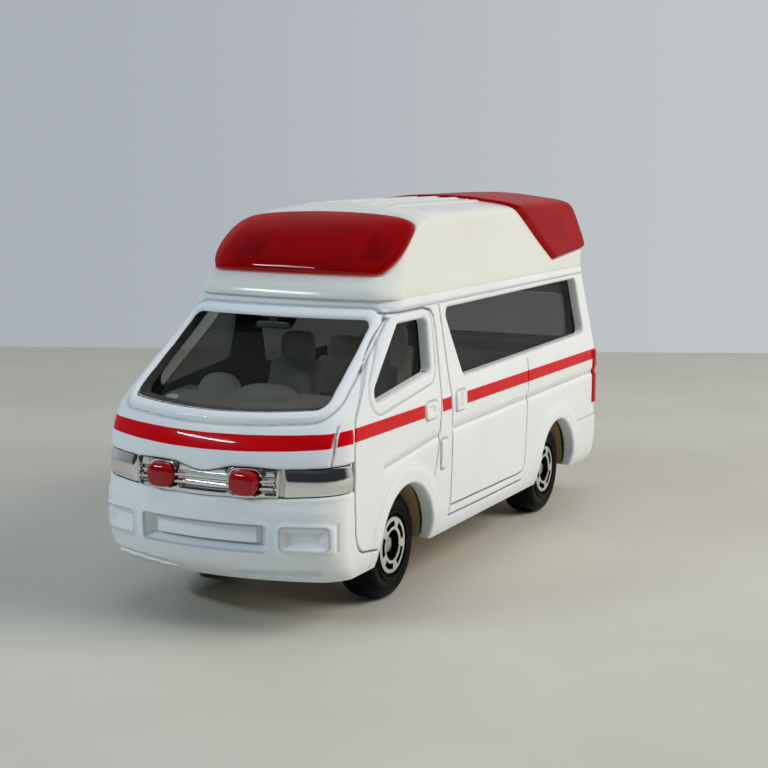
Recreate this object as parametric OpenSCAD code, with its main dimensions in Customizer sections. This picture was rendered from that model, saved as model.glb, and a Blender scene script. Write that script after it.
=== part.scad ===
// Toy ambulance van with a high roof, red light bars and sprung axles.
// Front faces -Y, up is +Z, the ground under the tyres is Z = 0.

/* [Overall size] */
// Length of the body over both bumpers
body_length = 76; // [73:0.5:79]
// Width of the body at the belt line
body_width = 25; // [24.5:0.1:26]
// Height of the lower body edge above the ground
edge_height = 4.6; // [4.4:0.1:5]
// Height of the seam between the body and the high roof
seam_height = 28.8; // [28:0.1:30]
// Rise of the high roof above the seam, up to its crown
roof_rise = 8.6; // [8.2:0.1:9.2]

/* [Walls and fits] */
// Thickness of the cast body wall
wall = 1.1; // [1:0.05:1.2]
// Thickness of the moulded pieces
moulded_wall = 0.9; // [0.8:0.05:1]
// Gap between pieces that are set face to face
fit_gap = 0.1; // [0.06:0.01:0.12]
// Radial running gap of an axle in a wheel or a slot
run_gap = 0.05; // [0.03:0.01:0.08]
// Gap between the rear hatch and its opening
hatch_gap = 0.25; // [0.2:0.05:0.35]

/* [Body form] */
// Radius of the front corners seen from above
nose_corner_r = 2.2; // [1.8:0.1:2.6]
// Radius of the rear corners seen from above
tail_corner_r = 2.2; // [1.8:0.1:2.4]
// Width of the panel lines
line_w = 0.36; // [0.25:0.01:0.45]
// Depth of the panel lines
line_depth = 0.26; // [0.15:0.01:0.35]
// Depth of the pockets in the front bumper
pocket_depth = 0.85; // [0.6:0.05:1]
// Height of the bead round the windscreen and the rear lamps
bead_h = 0.25; // [0.15:0.01:0.35]
// Width of the bead round the windscreen
bead_w = 0.85; // [0.6:0.05:1]
// Rounding of the window corners
window_r = 0.8; // [0.5:0.05:1]
// Thickness of the flange that carries the high roof
flange_t = 1; // [0.9:0.05:1.2]
// Height that the door handles stand out
handle_h = 0.22; // [0.1:0.01:0.3]

/* [Wheels and axles] */
// Distance from the front bumper to the front axle
front_overhang = 17.54; // [17:0.02:18]
// Distance from the rear axle to the rear bumper
rear_overhang = 15.86; // [15.4:0.02:16.6]
// Diameter of the wheels over the tyre
wheel_d = 10.4; // [10:0.1:10.6]
// Width of the wheels
wheel_w = 3.8; // [3.6:0.1:4]
// Distance from the widest body side to the wheel face
wheel_inset = 1.5; // [1.3:0.05:1.7]
// Diameter of the axles
axle_d = 1.2; // [1:0.05:1.3]
// Diameter of the axle heads
axle_head_d = 2.1; // [1.9:0.05:2.3]
// Thickness of the axle heads
axle_head_t = 0.4; // [0.3:0.05:0.5]
// Radius of the bright rim
rim_r = 2.74; // [2.6:0.02:2.9]
// Radius of the recess round the hub
hub_r = 1.46; // [1.4:0.02:1.6]
// Depth of the recess round the hub
hub_depth = 0.9; // [0.8:0.05:1]
// Number of slots in the rim
rim_slots = 5; // [4:1:6]
// Depth of the slots in the rim
slot_depth = 0.35; // [0.2:0.05:0.45]
// Rounding of the tyre shoulders
shoulder_r = 0.5; // [0.3:0.05:0.6]
// Way that each axle can rise against its spring
spring_travel = 0.7; // [0.5:0.05:0.8]
// Radius of the wheel arches
arch_r = 6.1; // [6:0.05:6.3]
// Radius of the line round the wheel arches
flare_r = 8.3; // [8:0.05:8.6]

/* [Base and springs] */
// Thickness of the base plate
base_t = 1; // [0.9:0.05:1.1]
// Gap between the back of a wheel and the wheel tub
wheel_gap = 0.8; // [0.7:0.05:1]
// Thickness of the wheel tub walls
tub_t = 0.7; // [0.6:0.05:0.8]
// Gap between an arch edge in the body and the tub behind it
tub_gap = 0.45; // [0.4:0.05:0.6]
// Height of the relief under the base plate
relief_h = 0.4; // [0.3:0.02:0.45]
// Depth of the axle trough below the base plate
trough_depth = 1.1; // [1:0.05:1.2]
// Half length of the axle trough
trough_half_l = 1.7; // [1.5:0.05:1.9]
// Radius of the two posts that hold the base
post_r = 1.7; // [1.5:0.05:1.9]
// Radius of the rivet shanks
rivet_r = 0.8; // [0.7:0.05:0.9]
// Radius of the rivet heads
rivet_head_r = 1.5; // [1.3:0.05:1.6]
// Height of the rivet heads
rivet_head_h = 0.45; // [0.3:0.05:0.5]
// Depth of the rivet shanks in the posts
rivet_depth = 2.4; // [2:0.1:2.8]
// Thickness of the leaf springs
leaf_t = 0.3; // [0.2:0.02:0.35]
// Width of the leaf springs
leaf_w = 3; // [2.6:0.1:3.4]
// Length of a leaf spring from its root to the axle
leaf_l = 9; // [8:0.2:10]

/* [Roof and light bars] */
// Radius of the roof corners seen from above
roof_corner_r = 3; // [2.6:0.1:3.4]
// Height that the front light bar stands out of the roof
front_lens_proud = 0.3; // [0.2:0.02:0.4]
// Height that the rear light bar stands out of the roof
rear_lens_proud = 0.5; // [0.4:0.02:0.6]
// Height of the ribs along the roof
rib_h = 0.3; // [0.2:0.02:0.4]
// Width of the ribs along the roof
rib_w = 0.8; // [0.6:0.05:1]
// Distance between the ribs along the roof
rib_pitch = 2.5; // [2.2:0.05:2.8]
// Depth of the lamp ledges behind the outside of the roof
ledge_set = 1.5; // [1.4:0.02:1.6]
// Width of the lamp housings behind the lenses
lamp_w = 10.4; // [9.8:0.1:11]

/* [Grille] */
// Depth that the chrome insert sits behind the body skin
grille_set = 0.15; // [0.1:0.01:0.2]
// Depth of the grooves between the grille bars
bar_depth = 0.5; // [0.4:0.05:0.6]
// Height of each groove between the grille bars
bar_gap = 0.26; // [0.2:0.02:0.3]
// Width of each red beacon
beacon_w = 2.7; // [2.4:0.1:3]
// Height of each red beacon
beacon_h = 2.4; // [2.2:0.05:2.6]
// Depth of each red beacon
beacon_depth = 1.5; // [1.3:0.05:1.7]
// Distance of each beacon from the middle
beacon_x = 4.25; // [4:0.05:4.5]

/* [Rear hatch] */
// Width of the body frame on each side of the rear hatch
hatch_frame_w = 3.1; // [2.9:0.05:3.3]
// Thickness of the rear hatch
hatch_t = 1; // [0.9:0.05:1.1]
// Radius of the hatch edge round the hinge axis
hinge_edge_r = 1.15; // [1.05:0.05:1.2]
// Radius of the hinge pins
hinge_pin_r = 0.5; // [0.45:0.02:0.55]
// Length of the hinge pins
hinge_pin_l = 0.7; // [0.6:0.05:0.8]
// Depth of the plate recess and height of the handle on the hatch
hatch_relief = 0.3; // [0.2:0.02:0.4]

/* [Inside] */
// Thickness of the seat floor
floor_t = 0.8; // [0.7:0.05:0.9]
// Gap between the wheel tubs and the seat floor
floor_gap = 0.2; // [0.1:0.05:0.3]
// Width of a front seat
seat_w = 5.6; // [5:0.1:6]
// Height of a front seat over the seat floor
seat_h = 10.6; // [10:0.1:11]
// Length of a front seat
seat_l = 5.4; // [5:0.1:5.8]
// Distance of each front seat from the middle
seat_x = 4.3; // [4.1:0.1:4.5]
// Radius of the steering wheel
steer_r = 2.1; // [1.8:0.1:2.3]
// Gap between the seat floor and the steering wheel
knee_gap = 1.6; // [1.4:0.1:1.8]

/* [Hidden] */
$fn = 48;

half_l = body_length / 2;
half_w = body_width / 2;
body_rise = seam_height - edge_height;
wheel_r = wheel_d / 2;
axle_r = axle_d / 2;
front_axle_y = front_overhang - half_l;
rear_axle_y = half_l - rear_overhang;
wheel_face_x = half_w - wheel_inset;
wheel_back_x = wheel_face_x - wheel_w;
tub_half_w = wheel_back_x - wheel_gap;
hatch_half_w = half_w - hatch_frame_w;
base_top_z = edge_height + base_t;
tub_r = arch_r + tub_gap;
arch_z = wheel_r;
floor_z = arch_z + tub_r + tub_t + floor_gap;
floor_top_z = floor_z + floor_t;
front_post_y = front_axle_y - arch_r - tub_gap - tub_t - post_r - base_t;
rear_post_y = rear_axle_y + arch_r + tub_gap + tub_t + post_r + base_t;

// Rear face of the dashboard at the seat floor, as a share of the length
dash_back_share = 0.19;
dash_back_y = body_length * dash_back_share - half_l;

// Counts of steps in the body outline
front_steps = 5;
corner_steps = 5;
side_steps = 2;

// Setback of the nose by height, as shares of the body rise and the length
nose_shares = [[0, 0.0289], [0.025, 0.0197], [0.07, 0.0079], [0.14, 0.0013], [0.223, 0],
    [0.281, 0.0004], [0.302, 0.0039], [0.413, 0.0059], [0.479, 0.0099], [0.529, 0.0132],
    [0.562, 0.0197], [0.599, 0.0329], [0.632, 0.0487], [0.93, 0.1895], [0.967, 0.2026], [1, 0.2105]];
// Setback of the tail by height, as shares of the body rise and the length
tail_shares = [[0, 0.0105], [0.033, 0.0039], [0.099, 0.0007], [0.182, 0], [0.215, 0.0013],
    [0.231, 0.0059], [0.413, 0.0072], [0.554, 0.0086], [0.632, 0.0118], [0.93, 0.0336], [1, 0.0388]];
// Inset of each side by height, as shares of the body rise and the width
side_shares = [[0, 0.02], [0.033, 0.008], [0.099, 0.0016], [0.182, 0], [0.512, 0], [0.562, 0.0016],
    [0.599, 0.006], [0.632, 0.0112], [0.93, 0.0504], [0.967, 0.0552], [1, 0.06]];
// Bow of the nose seen from above by height, as shares of the body rise and the width
bow_shares = [[0, 0.112], [0.14, 0.12], [0.471, 0.116], [0.562, 0.1], [0.632, 0.08], [0.93, 0.064],
    [1, 0.06]];
// Heights of the body sections, as shares of the body rise
level_shares = [0, 0.025, 0.07, 0.14, 0.223, 0.281, 0.302, 0.413, 0.479, 0.529, 0.562, 0.599,
    0.632, 0.707, 0.781, 0.855, 0.93, 0.967, 1];
// Heights of the sections of the hollow, as shares of the body rise
hollow_shares = [0, 0.07, 0.14, 0.302, 0.529, 0.599, 0.632, 0.781, 0.93];
// Share of the length over which the bow of the nose fades out
bow_reach_share = 0.3;
// Thickening of the sloping front against the side walls
nose_skew_share = 1.6;
// Largest corner radius of a roof outline, as a share of its half width
full_corner_share = 0.9;
// Smallest corner radius of an inner outline, as a share of the nose corner radius
least_corner_share = 0.3;

// Roof sections as shares: height of the rise, half width, front, rear, bow
roof_shares = [[0, 0.44, 0.2105, 0.9618, 0.06], [0.093, 0.436, 0.2132, 0.9697, 0.06],
    [0.186, 0.43, 0.2171, 0.9789, 0.064], [0.256, 0.424, 0.2211, 0.9855, 0.068],
    [0.395, 0.412, 0.2289, 0.9829, 0.076], [0.535, 0.402, 0.2421, 0.975, 0.08],
    [0.651, 0.394, 0.2592, 0.9671, 0.084], [0.744, 0.386, 0.2816, 0.9592, 0.084],
    [0.814, 0.378, 0.3053, 0.9526, 0.08], [0.86, 0.364, 0.3289, 0.9447, 0.068],
    [0.895, 0.336, 0.3474, 0.9368, 0.052], [0.93, 0.28, 0.3605, 0.9303, 0.036],
    [0.965, 0.2, 0.3697, 0.9237, 0.02], [1, 0.096, 0.3776, 0.9184, 0.008]];

// Panel lines on each side as shares of the length and the body rise
corner_line_shares = [[0.2079, 0.946], [0.0895, 0.62], [0.0789, 0.57], [0.0816, 0.306], [0.0855, 0.095],
    [0.1421, 0.074]];
door_line_shares = [[0.2158, 0.95], [0.3421, 0.95], [0.3368, 0.607], [0.3263, 0.372], [0.3132, 0.264]];
slide_line_shares = [[0.3592, 0.95], [0.3678, 0.595], [0.3718, 0.347], [0.3671, 0.112], [0.3618, 0.066]];
slide_rear_shares = [[0.6579, 0.62], [0.6553, 0.459], [0.6474, 0.116], [0.6355, 0.097], [0.3711, 0.107]];
crease_shares = [[0.3737, 0.4405], [0.9737, 0.4655]];
sill_shares = [[0.3632, 0.066], [0.6355, 0.062]];
// Corners of the side windows as shares of the length and the body rise
door_window_shares = [[0.2336, 0.875], [0.3066, 0.875], [0.3026, 0.7], [0.163, 0.7]];
long_window_shares = [[0.3905, 0.9], [0.4245, 0.67], [0.913, 0.695], [0.9, 0.91]];
// Corners of the windscreen as shares of the body width and the body rise
screen_shares = [[0.344, 0.892], [0.366, 0.668], [0, 0.652]];
// Middle of each handle and its half size, as shares of the length and the body rise
door_handle_shares = [0.302, 0.539, 0.0198, 0.035];
slide_handle_shares = [0.3988, 0.54, 0.0203, 0.043];
cap_shares = [0.3433, 0.341, 0.0125, 0.064];

// Distance that a cut reaches outside the body
beyond = wall + bead_h + wheel_inset;

// Height at a share of the body rise
function up(share) = edge_height + body_rise * share;
// Place along the body at a share of its length
function along(share) = body_length * share - half_l;
// Rear face of the body at a height
function tail_y(z) = half_l - body_length * lookup((z - edge_height) / body_rise, tail_shares);
// Front face of the body at a height, in the middle
function nose_y(z) = body_length * lookup((z - edge_height) / body_rise, nose_shares) - half_l;
// Half width of the body at a height
function side_x(z) = half_w - body_width * lookup((z - edge_height) / body_rise, side_shares);

// Closed outline seen from above, with a bowed front and round corners
function outline(w, yf, yr, bow, rf, rr) =
    let (left = concat(
            [for (i = [0:front_steps - 1]) [(w - rf) * i / front_steps, yf]],
            [for (i = [0:corner_steps]) let (a = 90 * i / corner_steps)
                [w - rf + rf * sin(a), yf + rf - rf * cos(a)]],
            [for (i = [1:side_steps - 1]) [w, yf + rf + (yr - rr - yf - rf) * i / side_steps]],
            [for (i = [0:corner_steps]) let (a = 90 * i / corner_steps)
                [w - rr + rr * cos(a), yr - rr + rr * sin(a)]]),
         loop = concat(left, [[0, yr]], [for (i = [len(left) - 1:-1:1]) [-left[i][0], left[i][1]]]),
         reach = bow_reach_share * (yr - yf))
    [for (p = loop) [p[0], p[1] + bow * pow(p[0] / w, 2) * max(0, 1 - (p[1] - yf) / reach)]];

// Body outline at a height, moved outwards by d
function body_ring(z, d) =
    let (share = (z - edge_height) / body_rise,
         least_r = nose_corner_r * least_corner_share)
    outline(side_x(z) + d, nose_y(z) - d * nose_skew_share, tail_y(z) + d,
        body_width * lookup(share, bow_shares),
        max(nose_corner_r + d, least_r), max(tail_corner_r + d, least_r));

// Roof outline of one section, moved outwards by d
function roof_ring(row, d) =
    let (w = body_width * row[1] + d,
         r = min(roof_corner_r + d, w * full_corner_share))
    outline(w, along(row[2]) - d, along(row[3]) + d, body_width * row[4], r, r);

// Solid through a stack of outlines
module loft(rings, heights) {
    n = len(rings[0]);
    m = len(rings);
    points = [for (k = [0:m - 1]) for (p = rings[k]) [p[0], p[1], heights[k]]];
    sides = [for (k = [0:m - 2]) for (i = [0:n - 1])
        let (a = k * n + i, b = k * n + (i + 1) % n)
        each [[a, a + n, b + n], [a, b + n, b]]];
    faces = concat([[for (i = [0:n - 1]) i]], [[for (i = [n - 1:-1:0]) (m - 1) * n + i]], sides);
    polyhedron(points, faces);
}

// Outer form of the body, moved outwards by d
module body_form(d) {
    heights = [for (s = level_shares) up(s)];
    loft([for (z = heights) body_ring(z, d)], heights);
}

// Inner form of the body between two heights, moved outwards by d
module body_core(d, low, high) {
    middle = [for (s = hollow_shares) if (up(s) > low && up(s) < high) up(s)];
    heights = concat([low], middle, [high]);
    loft([for (z = heights) body_ring(z, d)], heights);
}

// Outer form of the high roof, moved outwards by d, reaching down by skirt
module roof_form(d, skirt) {
    heights = concat([seam_height - skirt], [for (row = roof_shares) if (row[0] > 0)
        seam_height + (roof_rise + d) * row[0]]);
    loft([for (row = roof_shares) roof_ring(row, d)], heights);
}

// Drawing in the side view, pushed from x0 to x1
module side_cut(x0, x1) {
    translate([x0, 0, 0])
        rotate([90, 0, 90])
            linear_extrude(x1 - x0)
                children();
}

// Drawing in the front view, pushed from y0 to y1
module front_cut(y0, y1) {
    translate([0, y1, 0])
        rotate([90, 0, 0])
            linear_extrude(y1 - y0)
                children();
}

// Same shape on both sides
module both_sides() {
    children();
    mirror([1, 0, 0])
        children();
}

// Side view line through places given as shares
module share_line(places) {
    for (i = [0:len(places) - 2])
        hull() {
            translate([along(places[i][0]), up(places[i][1])])
                circle(d = line_w, $fn = 8);
            translate([along(places[i + 1][0]), up(places[i + 1][1])])
                circle(d = line_w, $fn = 8);
        }
}

// Side view patch with round corners through places given as shares
module share_patch(places, r) {
    hull()
        for (p = places)
            translate([along(p[0]), up(p[1])])
                circle(r, $fn = 16);
}

// Side view block from a middle and a half size given as shares
module share_block(place) {
    translate([along(place[0]), up(place[1])])
        square([2 * body_length * place[2], 2 * body_rise * place[3]], center = true);
}

// Front view rectangle with round corners between two widths and two heights
module round_box(x0, x1, z0, z1, r) {
    hull()
        for (x = [x0 + r, x1 - r], z = [z0 + r, z1 - r])
            translate([x, z])
                circle(r, $fn = 16);
}

// Windscreen outline grown by d
module screen_outline(d) {
    hull()
        for (p = screen_shares, side = [-1, 1])
            translate([side * body_width * p[0], up(p[1])])
                circle(window_r + d, $fn = 20);
}

// Chrome insert outline in the front view, shrunk by d
module grille_outline(d) {
    low_shares = [[0, 0.306], [0.3, 0.316], [0.56, 0.34]];
    high_shares = [[0.56, 0.445], [0.3, 0.432], [0.2, 0.436], [0.1, 0.432], [0.04, 0.405], [0, 0.401]];
    half = concat(low_shares, high_shares);
    offset(delta = -d)
        polygon(concat([for (p = half) [body_width * p[0], up(p[1])]],
            [for (i = [len(half) - 2:-1:1]) [-body_width * half[i][0], up(half[i][1])]]));
}

// All panel lines, deep enough to pass the skin
module panel_lines() {
    both_sides() {
        side_cut(half_w / 2, half_w + beyond) {
            share_line(corner_line_shares);
            share_line(door_line_shares);
            share_line(slide_line_shares);
            share_line(slide_rear_shares);
            share_line(crease_shares);
            share_line(sill_shares);
            for (y = [front_axle_y, rear_axle_y])
                translate([y, arch_z])
                    difference() {
                        circle(flare_r + line_w / 2, $fn = 40);
                        circle(flare_r - line_w / 2, $fn = 40);
                        translate([-flare_r - line_w, -flare_r - line_w])
                            square([2 * (flare_r + line_w), flare_r + line_w]);
                    }
        }
        bonnet_lines();
    }
}

// Panel line beside the bonnet and the low slots of the bumper
module bonnet_lines() {
    edge_share = 0.44;
    edge_z_shares = [0.42, 0.59];
    slot_shares = [0.13, 0.42, 0.03, 0.053];
    front_cut(-half_l - beyond, along(bow_reach_share) - half_w) {
        translate([body_width * edge_share - line_w / 2, up(edge_z_shares[0])])
            square([line_w, body_rise * (edge_z_shares[1] - edge_z_shares[0])]);
        round_box(body_width * slot_shares[0], body_width * slot_shares[1],
            up(slot_shares[2]), up(slot_shares[3]), line_w / 2);
    }
}

// Plate recess and fog lamp recesses of the front bumper
module face_pockets() {
    plate_shares = [0.264, 0.118, 0.218];
    fog_shares = [0.3, 0.45, 0.112, 0.206];
    front_cut(-half_l - beyond, front_post_y) {
        round_box(-body_width * plate_shares[0], body_width * plate_shares[0],
            up(plate_shares[1]), up(plate_shares[2]), line_w / 2);
        for (side = [0, 1])
            mirror([side, 0])
                round_box(body_width * fog_shares[0], body_width * fog_shares[1],
                    up(fog_shares[2]), up(fog_shares[3]), window_r / 2);
    }
}

// Raised plate in the front recess and lamp blocks in the fog recesses
module pocket_fillings() {
    plate_shares = [0.224, 0.138, 0.205];
    fog_shares = [0.33, 0.424, 0.131, 0.188];
    intersection() {
        body_form(line_depth - pocket_depth);
        front_cut(-half_l - beyond, front_post_y) {
            round_box(-body_width * plate_shares[0], body_width * plate_shares[0],
                up(plate_shares[1]), up(plate_shares[2]), line_w / 2);
            for (side = [0, 1])
                mirror([side, 0])
                    round_box(body_width * fog_shares[0], body_width * fog_shares[1],
                        up(fog_shares[2]), up(fog_shares[3]), line_w / 2);
        }
    }
}

// Raised rim round the windscreen, rear lamps and door handles
module raised_forms() {
    lamp_shares = [0.33, 0.565];
    intersection() {
        body_form(bead_h);
        union() {
            front_cut(-half_l - beyond, front_axle_y + bead_w)
                difference() {
                    screen_outline(bead_w);
                    screen_outline(0);
                }
            both_sides()
                translate([hatch_half_w + 2 * hatch_gap, half_l - tail_corner_r - wall,
                    up(lamp_shares[0])])
                    cube([half_w, half_w, body_rise * (lamp_shares[1] - lamp_shares[0])]);
        }
    }
    intersection() {
        body_form(handle_h);
        both_sides()
            side_cut(half_w / 2, half_w + beyond) {
                share_block(door_handle_shares);
                share_block(slide_handle_shares);
                share_block(cap_shares);
            }
    }
}

// Opening of the rear hatch in the body, in the front view
hatch_low_z = up(level_shares[6]) - line_w - wall;
hatch_open_z = seam_height - flange_t - line_w / 2;
hinge_z = hatch_open_z - hatch_gap - hinge_edge_r;
hinge_y = tail_y(hinge_z) - hinge_edge_r;
module hatch_opening() {
    half = hatch_half_w + hatch_gap;
    front_cut(half_l - tail_corner_r - wall - hinge_edge_r, half_l + beyond)
        translate([-half, hatch_low_z - hatch_gap])
            square([2 * half, hatch_open_z - hatch_low_z + hatch_gap]);
}

// Side view band behind the rear face, between two heights and two depths
module tail_band(low, high, depth0, depth1) {
    middle = [for (s = level_shares) if (up(s) > low && up(s) < high) up(s)];
    heights = concat([low], middle, [high]);
    n = len(heights);
    polygon(concat([for (z = heights) [tail_y(z) - depth0, z]],
        [for (i = [n - 1:-1:0]) [tail_y(heights[i]) - depth1, heights[i]]]));
}

// Posts for the rivets, webs that tie them to the body, and the hatch jambs
module body_inside() {
    web_t = wall;
    jamb_depth = 2 * hinge_edge_r;
    jamb_share = 0.6;
    front_top_share = 0.575;
    jamb_z = up(jamb_share);
    jamb_low_z = hatch_low_z - wall;
    front_top_z = up(front_top_share);
    rear_top_z = hatch_low_z - hatch_gap - line_depth;
    translate([0, front_post_y, base_top_z])
        cylinder(r = post_r, h = front_top_z - base_top_z);
    translate([0, rear_post_y, base_top_z])
        cylinder(r = post_r, h = rear_top_z - base_top_z);
    intersection() {
        body_form(-line_depth - pocket_depth / 2);
        union() {
            translate([-web_t / 2, -half_l, base_top_z])
                cube([web_t, front_post_y + half_l, front_top_z - base_top_z]);
            translate([-web_t / 2, rear_post_y, base_top_z])
                cube([web_t, half_l - rear_post_y, rear_top_z - base_top_z]);
        }
    }
    intersection() {
        body_form(-line_depth);
        both_sides()
            side_cut(hatch_half_w + hatch_gap, half_w)
                polygon([[half_l, jamb_low_z], [half_l, seam_height - line_depth],
                    [tail_y(seam_height) - jamb_depth, seam_height - line_depth],
                    [tail_y(jamb_z) - jamb_depth, jamb_z], [tail_y(jamb_low_z) - jamb_depth, jamb_low_z]]);
    }
}

// Opening for the chrome insert through the nose
module grille_opening() {
    front_cut(-half_l - beyond, along(corner_line_shares[2][0]) - line_w / 2)
        grille_outline(0);
}

// Outer form of the body with its lines, pockets and raised forms
module body_skin() {
    difference() {
        body_form(0);
        panel_lines();
        face_pockets();
    }
    difference() {
        body_form(-line_depth);
        face_pockets();
    }
    body_form(-pocket_depth);
    pocket_fillings();
    raised_forms();
}

// Frame of the roof opening in the body flange, from above
roof_hole_shares = [0.344, 0.285, 0.9];
module roof_hole(d) {
    half = body_width * roof_hole_shares[0] - d;
    y0 = along(roof_hole_shares[1]) + d;
    y1 = along(roof_hole_shares[2]) - d;
    translate([-half, y0])
        square([2 * half, y1 - y0]);
}

// Die-cast body
module body_shell() {
    color("white")
        difference() {
            union() {
                difference() {
                    body_skin();
                    body_core(-wall, edge_height - beyond, seam_height - flange_t);
                }
                body_inside();
            }
            front_cut(-half_l - beyond, front_axle_y + bead_w)
                screen_outline(0);
            side_cut(-half_w - beyond, half_w + beyond) {
                share_patch(door_window_shares, window_r);
                share_patch(long_window_shares, window_r);
                for (y = [front_axle_y, rear_axle_y])
                    translate([y, arch_z])
                        circle(arch_r, $fn = 40);
            }
            translate([0, 0, seam_height - flange_t - fit_gap])
                linear_extrude(flange_t + wall)
                    roof_hole(0);
            grille_opening();
            hatch_opening();
            for (y = [front_post_y, rear_post_y])
                translate([0, y, base_top_z - fit_gap])
                    cylinder(r = rivet_r + fit_gap / 2, h = rivet_depth + 2 * fit_gap, $fn = 24);
            for (side = [-1, 1])
                translate([side * (hatch_half_w + hinge_pin_l / 2), hinge_y, hinge_z])
                    rotate([0, 90, 0])
                        cylinder(r = hinge_pin_r + fit_gap, h = hinge_pin_l + 2 * hatch_gap,
                            center = true, $fn = 24);
        }
}

// Side view of the space for the front light bar
module front_bar_side() {
    bar_shares = [[0.24, 0.257], [0.35, 0.878]];
    y0 = along(bar_shares[0][0]);
    y1 = along(bar_shares[1][0]);
    z0 = seam_height + roof_rise * bar_shares[0][1];
    z1 = seam_height + roof_rise * bar_shares[1][1];
    top = seam_height + 2 * roof_rise;
    polygon([[-half_l, z0], [y0, z0], [y1, z1], [y1, top], [-half_l, top]]);
}

// Side view of the space for the rear light bar
module rear_bar_side() {
    bar_shares = [[0.688, 0.9], [0.8115, 0.16], [1, 0.28]];
    z0 = seam_height + roof_rise * bar_shares[0][1];
    z1 = seam_height + roof_rise * bar_shares[1][1];
    z2 = seam_height + roof_rise * bar_shares[2][1];
    top = seam_height + 2 * roof_rise;
    polygon([[along(bar_shares[0][0]), top], [along(bar_shares[0][0]), z0], [along(bar_shares[1][0]), z1],
        [along(bar_shares[2][0]), z2], [half_l + roof_rise, z2], [half_l + roof_rise, top]]);
}

// Raised ribs along the top of the high roof
module roof_ribs() {
    y_shares = [0.385, 0.68];
    intersection() {
        roof_form(rib_h, 0);
        for (i = [-2:2])
            translate([i * rib_pitch - rib_w / 2, along(y_shares[0]), seam_height + roof_rise / 2])
                cube([rib_w, body_length * (y_shares[1] - y_shares[0]), roof_rise]);
    }
}

// Lamp ledge and lamp housing behind a lens, from their places along the body
module lamp_block(ledge_shares, house_shares) {
    rise_shares = [0.36, 0.43, 0.675];
    low = seam_height + moulded_wall / 3;
    step = seam_height + roof_rise * rise_shares[1];
    top = seam_height + roof_rise * rise_shares[2];
    intersection() {
        roof_form(-ledge_set, 0);
        translate([-half_w, along(ledge_shares[0]), low])
            cube([body_width, body_length * (ledge_shares[1] - ledge_shares[0]), roof_rise * rise_shares[0]]);
    }
    side_cut(-lamp_w / 2, lamp_w / 2)
        polygon([[along(house_shares[0]), low], [along(house_shares[0]), step], [along(house_shares[1]), top],
            [along(house_shares[2]), top], [along(house_shares[2]), low]]);
}

// High roof of the body
module high_roof() {
    front_lamp_shares = [[0, 0.3], [0.262, 0.31, 0.35]];
    rear_lamp_shares = [[0.78, 1], [0.945, 0.915, 0.74]];
    color("ivory") {
        difference() {
            union() {
                roof_form(0, 0);
                roof_ribs();
            }
            roof_form(-moulded_wall, wall);
            side_cut(-half_w, half_w) {
                front_bar_side();
                rear_bar_side();
            }
        }
        translate([0, 0, seam_height - flange_t])
            linear_extrude(flange_t + moulded_wall / 2)
                difference() {
                    roof_hole(fit_gap);
                    roof_hole(fit_gap + moulded_wall);
                }
        translate([0, 0, seam_height])
            linear_extrude(moulded_wall)
                difference() {
                    polygon(roof_ring(roof_shares[0], -moulded_wall / 2));
                    roof_hole(fit_gap + moulded_wall);
                }
        for (shares = [front_lamp_shares, rear_lamp_shares])
            lamp_block(shares[0], shares[1]);
    }
}

// Red lens of one light bar
module bar_lens(proud) {
    intersection() {
        difference() {
            roof_form(proud, 0);
            roof_form(-moulded_wall, wall);
        }
        side_cut(-half_w - beyond, half_w + beyond)
            offset(delta = -fit_gap)
                children();
    }
}

// Front light bar
module front_light_lens() {
    color("red")
        bar_lens(front_lens_proud)
            front_bar_side();
}

// Rear light bar
module rear_light_lens() {
    color("red")
        bar_lens(rear_lens_proud)
            rear_bar_side();
}

// Clear moulding behind the windscreen and the side windows
module glazing() {
    low = up(level_shares[11]);
    high = seam_height - flange_t - fit_gap;
    end_share = 0.93;
    color("lightblue", 0.5)
        difference() {
            body_core(-wall - fit_gap, low, high);
            body_core(-wall - fit_gap - moulded_wall, low - wall, high - moulded_wall);
            translate([-half_w, along(end_share), 0])
                cube([body_width, half_l, 2 * seam_height]);
            translate([0, 0, high - wall])
                linear_extrude(2 * wall)
                    roof_hole(-fit_gap);
        }
}

// Chrome insert with headlamps and grille bars
module grille_insert() {
    inner_d = -grille_set - nose_corner_r / 2;
    lamp_share = 0.3;
    bar_shares = [0.33, 0.356, 0.382];
    color("silver")
        difference() {
            intersection() {
                difference() {
                    body_form(-grille_set);
                    body_form(inner_d);
                }
                front_cut(-half_l - beyond, along(corner_line_shares[2][0]) - line_w / 2 - fit_gap)
                    grille_outline(fit_gap);
            }
            intersection() {
                difference() {
                    body_form(0);
                    body_form(-grille_set - bar_depth);
                }
                front_cut(-half_l - beyond, front_post_y) {
                    for (share = bar_shares)
                        translate([-body_width * lamp_share, up(share)])
                            square([2 * body_width * lamp_share, bar_gap]);
                    for (side = [-1, 1])
                        translate([side * body_width * lamp_share - bar_gap / 2, 0])
                            square([bar_gap, seam_height]);
                }
            }
            for (side = [-1, 1])
                beacon(side, fit_gap);
        }
}

// One red beacon grown by d
module beacon(side, d) {
    share = 0.367;
    z = up(share);
    r = beacon_h / 3;
    out = beacon_w / 2 - r;
    rise = beacon_h / 2 - r;
    y = nose_y(z) + body_width * lookup(share, bow_shares) * pow(beacon_x / half_w, 2) - beacon_depth / 2;
    hull()
        for (dx = [-1, 1], dz = [-1, 1]) {
            translate([side * beacon_x + dx * out, y + r, z + dz * rise])
                sphere(r + d, $fn = 12);
            translate([side * beacon_x + dx * out, y + beacon_depth - r, z + dz * rise])
                sphere(r + d, $fn = 12);
        }
}

// Two red beacons in the grille
module grille_beacons() {
    color("darkred")
        for (side = [-1, 1])
            beacon(side, 0);
}

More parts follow.
